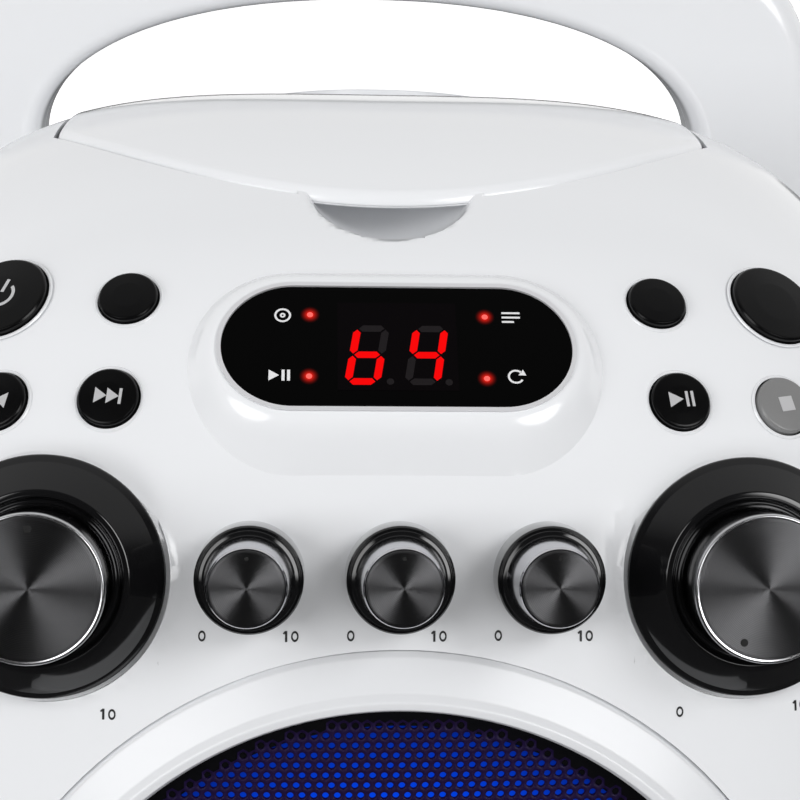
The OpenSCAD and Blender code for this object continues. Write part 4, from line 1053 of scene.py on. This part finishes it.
icons = {
    "power": [arcOutline(2.9, 0.75, 125, 415, 40), bar(-0.38, 0.6, 0.38, 4.0)],
    "previous": [[(2.6, -1.7), (2.6, 1.7), (0.1, 0)], [(0.1, -1.7), (0.1, 1.7), (-2.4, 0)],
                 bar(-3.0, -1.7, -2.4, 1.7)],
    "next": [[(-2.6, 1.7), (-2.6, -1.7), (-0.1, 0)], [(-0.1, 1.7), (-0.1, -1.7), (2.4, 0)],
             bar(2.4, -1.7, 3.0, 1.7)],
    "play": [[(-2.7, 1.7), (-2.7, -1.7), (0.3, 0)], bar(0.8, -1.7, 1.4, 1.7), bar(2.0, -1.7, 2.6, 1.7)],
    "stop": [bar(-1.6, -1.6, 1.6, 1.6)],
    "repeat": [], "program": [], "light": [],
}
for name, (x, e, radius) in buttons.items():
    matrix = panelFrame(x, e)
    profile = roundedProfile([(radius, -5.0), (radius, 1.0, 0.2), (radius - 0.32, 1.36, 0.12),
                              (radius - 0.62, 1.42, 0.3), (radius * 0.5, 1.64, 2.0), (0, 1.72)], 5)
    cap = lathe(name + "Button", profile, stopGrey if name == "stop" else buttonGloss, matrix, 96, 40)
    hole = radius + buttonGap
    collarProfile = [(hole + 0.02, -2.0), (hole + 0.02, 0.05), (hole + 0.45, 0.12), (hole + 0.7, -0.15)]
    collar = lathe(name + "Collar", collarProfile, whiteShell, matrix)
    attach(cap, name)
    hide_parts(name + "_button")
    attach(collar, "housing")
    for outline in icons[name]:
        flat(name + "Icon", counterClockwise(outline), 1.70, iconGrey, matrix, 0.06, name, "button_black")
stage("buttons made")

# Floor, sky, lights and camera


# The camera sees the floor white; reflections see it dark, and light bounces off a mid grey.
def floorMaterial():
    material = principled("floorWhite", (0.9, 0.9, 0.9), 0.6)
    tree = material.node_tree
    path = addNode(tree, "LightPath")
    glow = addNode(tree, "Emission", {"Color": (1, 1, 1, 1), "Strength": 0.65})
    both = addNode(tree, "AddShader")
    dark = addNode(tree, "BsdfDiffuse", {"Color": (0.05, 0.05, 0.05, 1)})
    bounce = addNode(tree, "BsdfDiffuse", {"Color": (0.45, 0.45, 0.45, 1)})
    mirror = addNode(tree, "MixShader")
    seen = addNode(tree, "MixShader")
    wire(tree, (tree.nodes["Principled BSDF"], "BSDF", both, 0), (glow, "Emission", both, 1),
         (path, "Is Camera Ray", seen, 0), (path, "Is Glossy Ray", mirror, 0), (bounce, "BSDF", mirror, 1),
         (dark, "BSDF", mirror, 2), (mirror, "Shader", seen, 1), (both, "Shader", seen, 2),
         (seen, "Shader", tree.nodes["Material Output"], "Surface"))
    return material


floorCorners = [(x, y, 0) for x, y in bar(-4000, -4000, 4000, 4000)]
floorMesh = makeMesh("floorPlane", floorCorners, [(0, 1, 2, 3)], floorMaterial())

world = bpy.context.scene.world or bpy.data.worlds.new("World")
bpy.context.scene.world = world
world.use_nodes = True
# The two ramps run from the horizon in front, over the top, to the horizon behind.
sky = {
    "diffuse": [(0.0, 1.12), (0.25, 0.80), (0.50, 0.30), (0.75, 0.50), (1.0, 1.15)],
    "glossy": [(0.0, 0.04), (0.10, 0.03), (0.36, 0.05), (0.50, 0.40), (0.60, 0.55), (0.72, 1.10), (1.0, 1.2)],
    "box": (0.52, -0.754, 0.40), "boxFrom": 0.945, "boxTo": 0.975, "boxGlow": 6.0, "leftShare": 0.65,
    "sideBlend": 0.1, "strength": 0.87, "background": 1.02,
}


def makeSky():
    tree = world.node_tree
    background = tree.nodes["Background"]
    place = addNode(tree, "TexCoord")
    split = addNode(tree, "SeparateXYZ")
    back = addNode(tree, "Math", {1: -1.0}, operation="MULTIPLY")
    turn = addNode(tree, "Math", operation="ARCTAN2")
    height = addNode(tree, "Math", {1: math.pi}, operation="DIVIDE")
    wire(tree, (place, "Generated", split, "Vector"), (split, "Y", back, 0), (split, "Z", turn, 0),
         (back, "Value", turn, 1), (turn, "Value", height, 0))
    ramps = {}
    for key in ("diffuse", "glossy"):
        ramps[key] = addNode(tree, "ValToRGB")
        colours = ramps[key].color_ramp
        colours.interpolation = "EASE"
        while len(colours.elements) < len(sky[key]):
            colours.elements.new(0.5)
        for element, (position, value) in zip(colours.elements, sky[key]):
            element.position = position
            element.color = (value, value, value, 1)
        wire(tree, (height, "Value", ramps[key], "Fac"))
    mirrored = addNode(tree, "VectorMath", operation="ABSOLUTE")
    apart = addNode(tree, "SeparateXYZ")
    joined = addNode(tree, "CombineXYZ")
    near = addNode(tree, "VectorMath", {1: Vector(sky["box"]).normalized()}, operation="DOT_PRODUCT")
    edge = addNode(tree, "MapRange", interpolation_type="SMOOTHSTEP")
    setInputs(edge, {"From Min": sky["boxFrom"], "From Max": sky["boxTo"], "To Max": sky["boxGlow"]})
    side = addNode(tree, "MapRange", {"From Min": -sky["sideBlend"], "From Max": sky["sideBlend"],
                                      "To Min": sky["leftShare"]})
    glow = addNode(tree, "Math", operation="MULTIPLY")
    boxes = addNode(tree, "VectorMath", operation="ADD")
    path = addNode(tree, "LightPath")
    glossy = addNode(tree, "Mix", data_type="RGBA")
    scale = addNode(tree, "VectorMath", {"Scale": sky["strength"]}, operation="SCALE")
    seen = addNode(tree, "Mix", {"B": (sky["background"],) * 3 + (1,)}, data_type="RGBA")
    wire(tree, (place, "Generated", mirrored, 0), (mirrored, "Vector", apart, "Vector"),
         (apart, "X", joined, "X"), (split, "Y", joined, "Y"), (split, "Z", joined, "Z"),
         (joined, "Vector", near, 0), (near, "Value", edge, "Value"), (split, "X", side, "Value"),
         (edge, "Result", glow, 0), (side, "Result", glow, 1), (ramps["glossy"], "Color", boxes, 0),
         (glow, "Value", boxes, 1), (path, "Is Glossy Ray", glossy, "Factor"),
         (ramps["diffuse"], "Color", glossy, "A"), (boxes, "Vector", glossy, "B"),
         (glossy, "Result", scale, 0), (path, "Is Camera Ray", seen, "Factor"),
         (scale, "Vector", seen, "A"), (seen, "Result", background, "Color"))
    background.inputs["Strength"].default_value = 1.0


makeSky()


def areaLight(name, place, target, size, power):
    data = bpy.data.lights.new(name, "AREA")
    data.shape = "RECTANGLE"
    data.size, data.size_y = size, size
    data.energy = power
    obj = bpy.data.objects.new(name, data)
    bpy.context.scene.collection.objects.link(obj)
    obj.location = place
    obj.rotation_mode = "QUATERNION"
    obj.rotation_quaternion = (Vector(target) - Vector(place)).to_track_quat("-Z", "Y")
    obj.visible_glossy = False
    return obj


areaLight("keyLight", (0.98, -0.95, 1.15), (0, 0, 0.2), 0.6, 9.0)
areaLight("fillLight", (-1.1, -1.0, 0.6), (0, 0, 0.2), 0.8, 9.0)

view = {"place": (-17.0, -381.4, 333.5), "yaw": 3.3, "pitch": 18.5, "roll": 1.4, "sensor": 36.0,
        "focal": 1584.0 * 36.0 / 800.0, "clip": 0.01}
yaw, pitch, roll = (math.radians(view[k]) for k in ("yaw", "pitch", "roll"))
forward = np.array([math.sin(yaw) * math.cos(pitch), math.cos(yaw) * math.cos(pitch), -math.sin(pitch)])
right = np.array([math.cos(yaw), -math.sin(yaw), 0])
upward = np.cross(right, forward)
cameraRight = right * math.cos(roll) + upward * math.sin(roll)
cameraUp = -right * math.sin(roll) + upward * math.cos(roll)
cameraData = bpy.data.cameras.new("camera")
cameraData.lens = view["focal"]
cameraData.sensor_width = view["sensor"]
cameraData.clip_start = view["clip"]
camera = bpy.data.objects.new("camera", cameraData)
bpy.context.scene.collection.objects.link(camera)
camera.matrix_world = frameMatrix(view["place"], cameraRight, cameraUp, -forward)
bpy.context.scene.camera = camera
bpy.context.scene.view_settings.view_transform = "Standard"

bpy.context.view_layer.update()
stage("scene done")
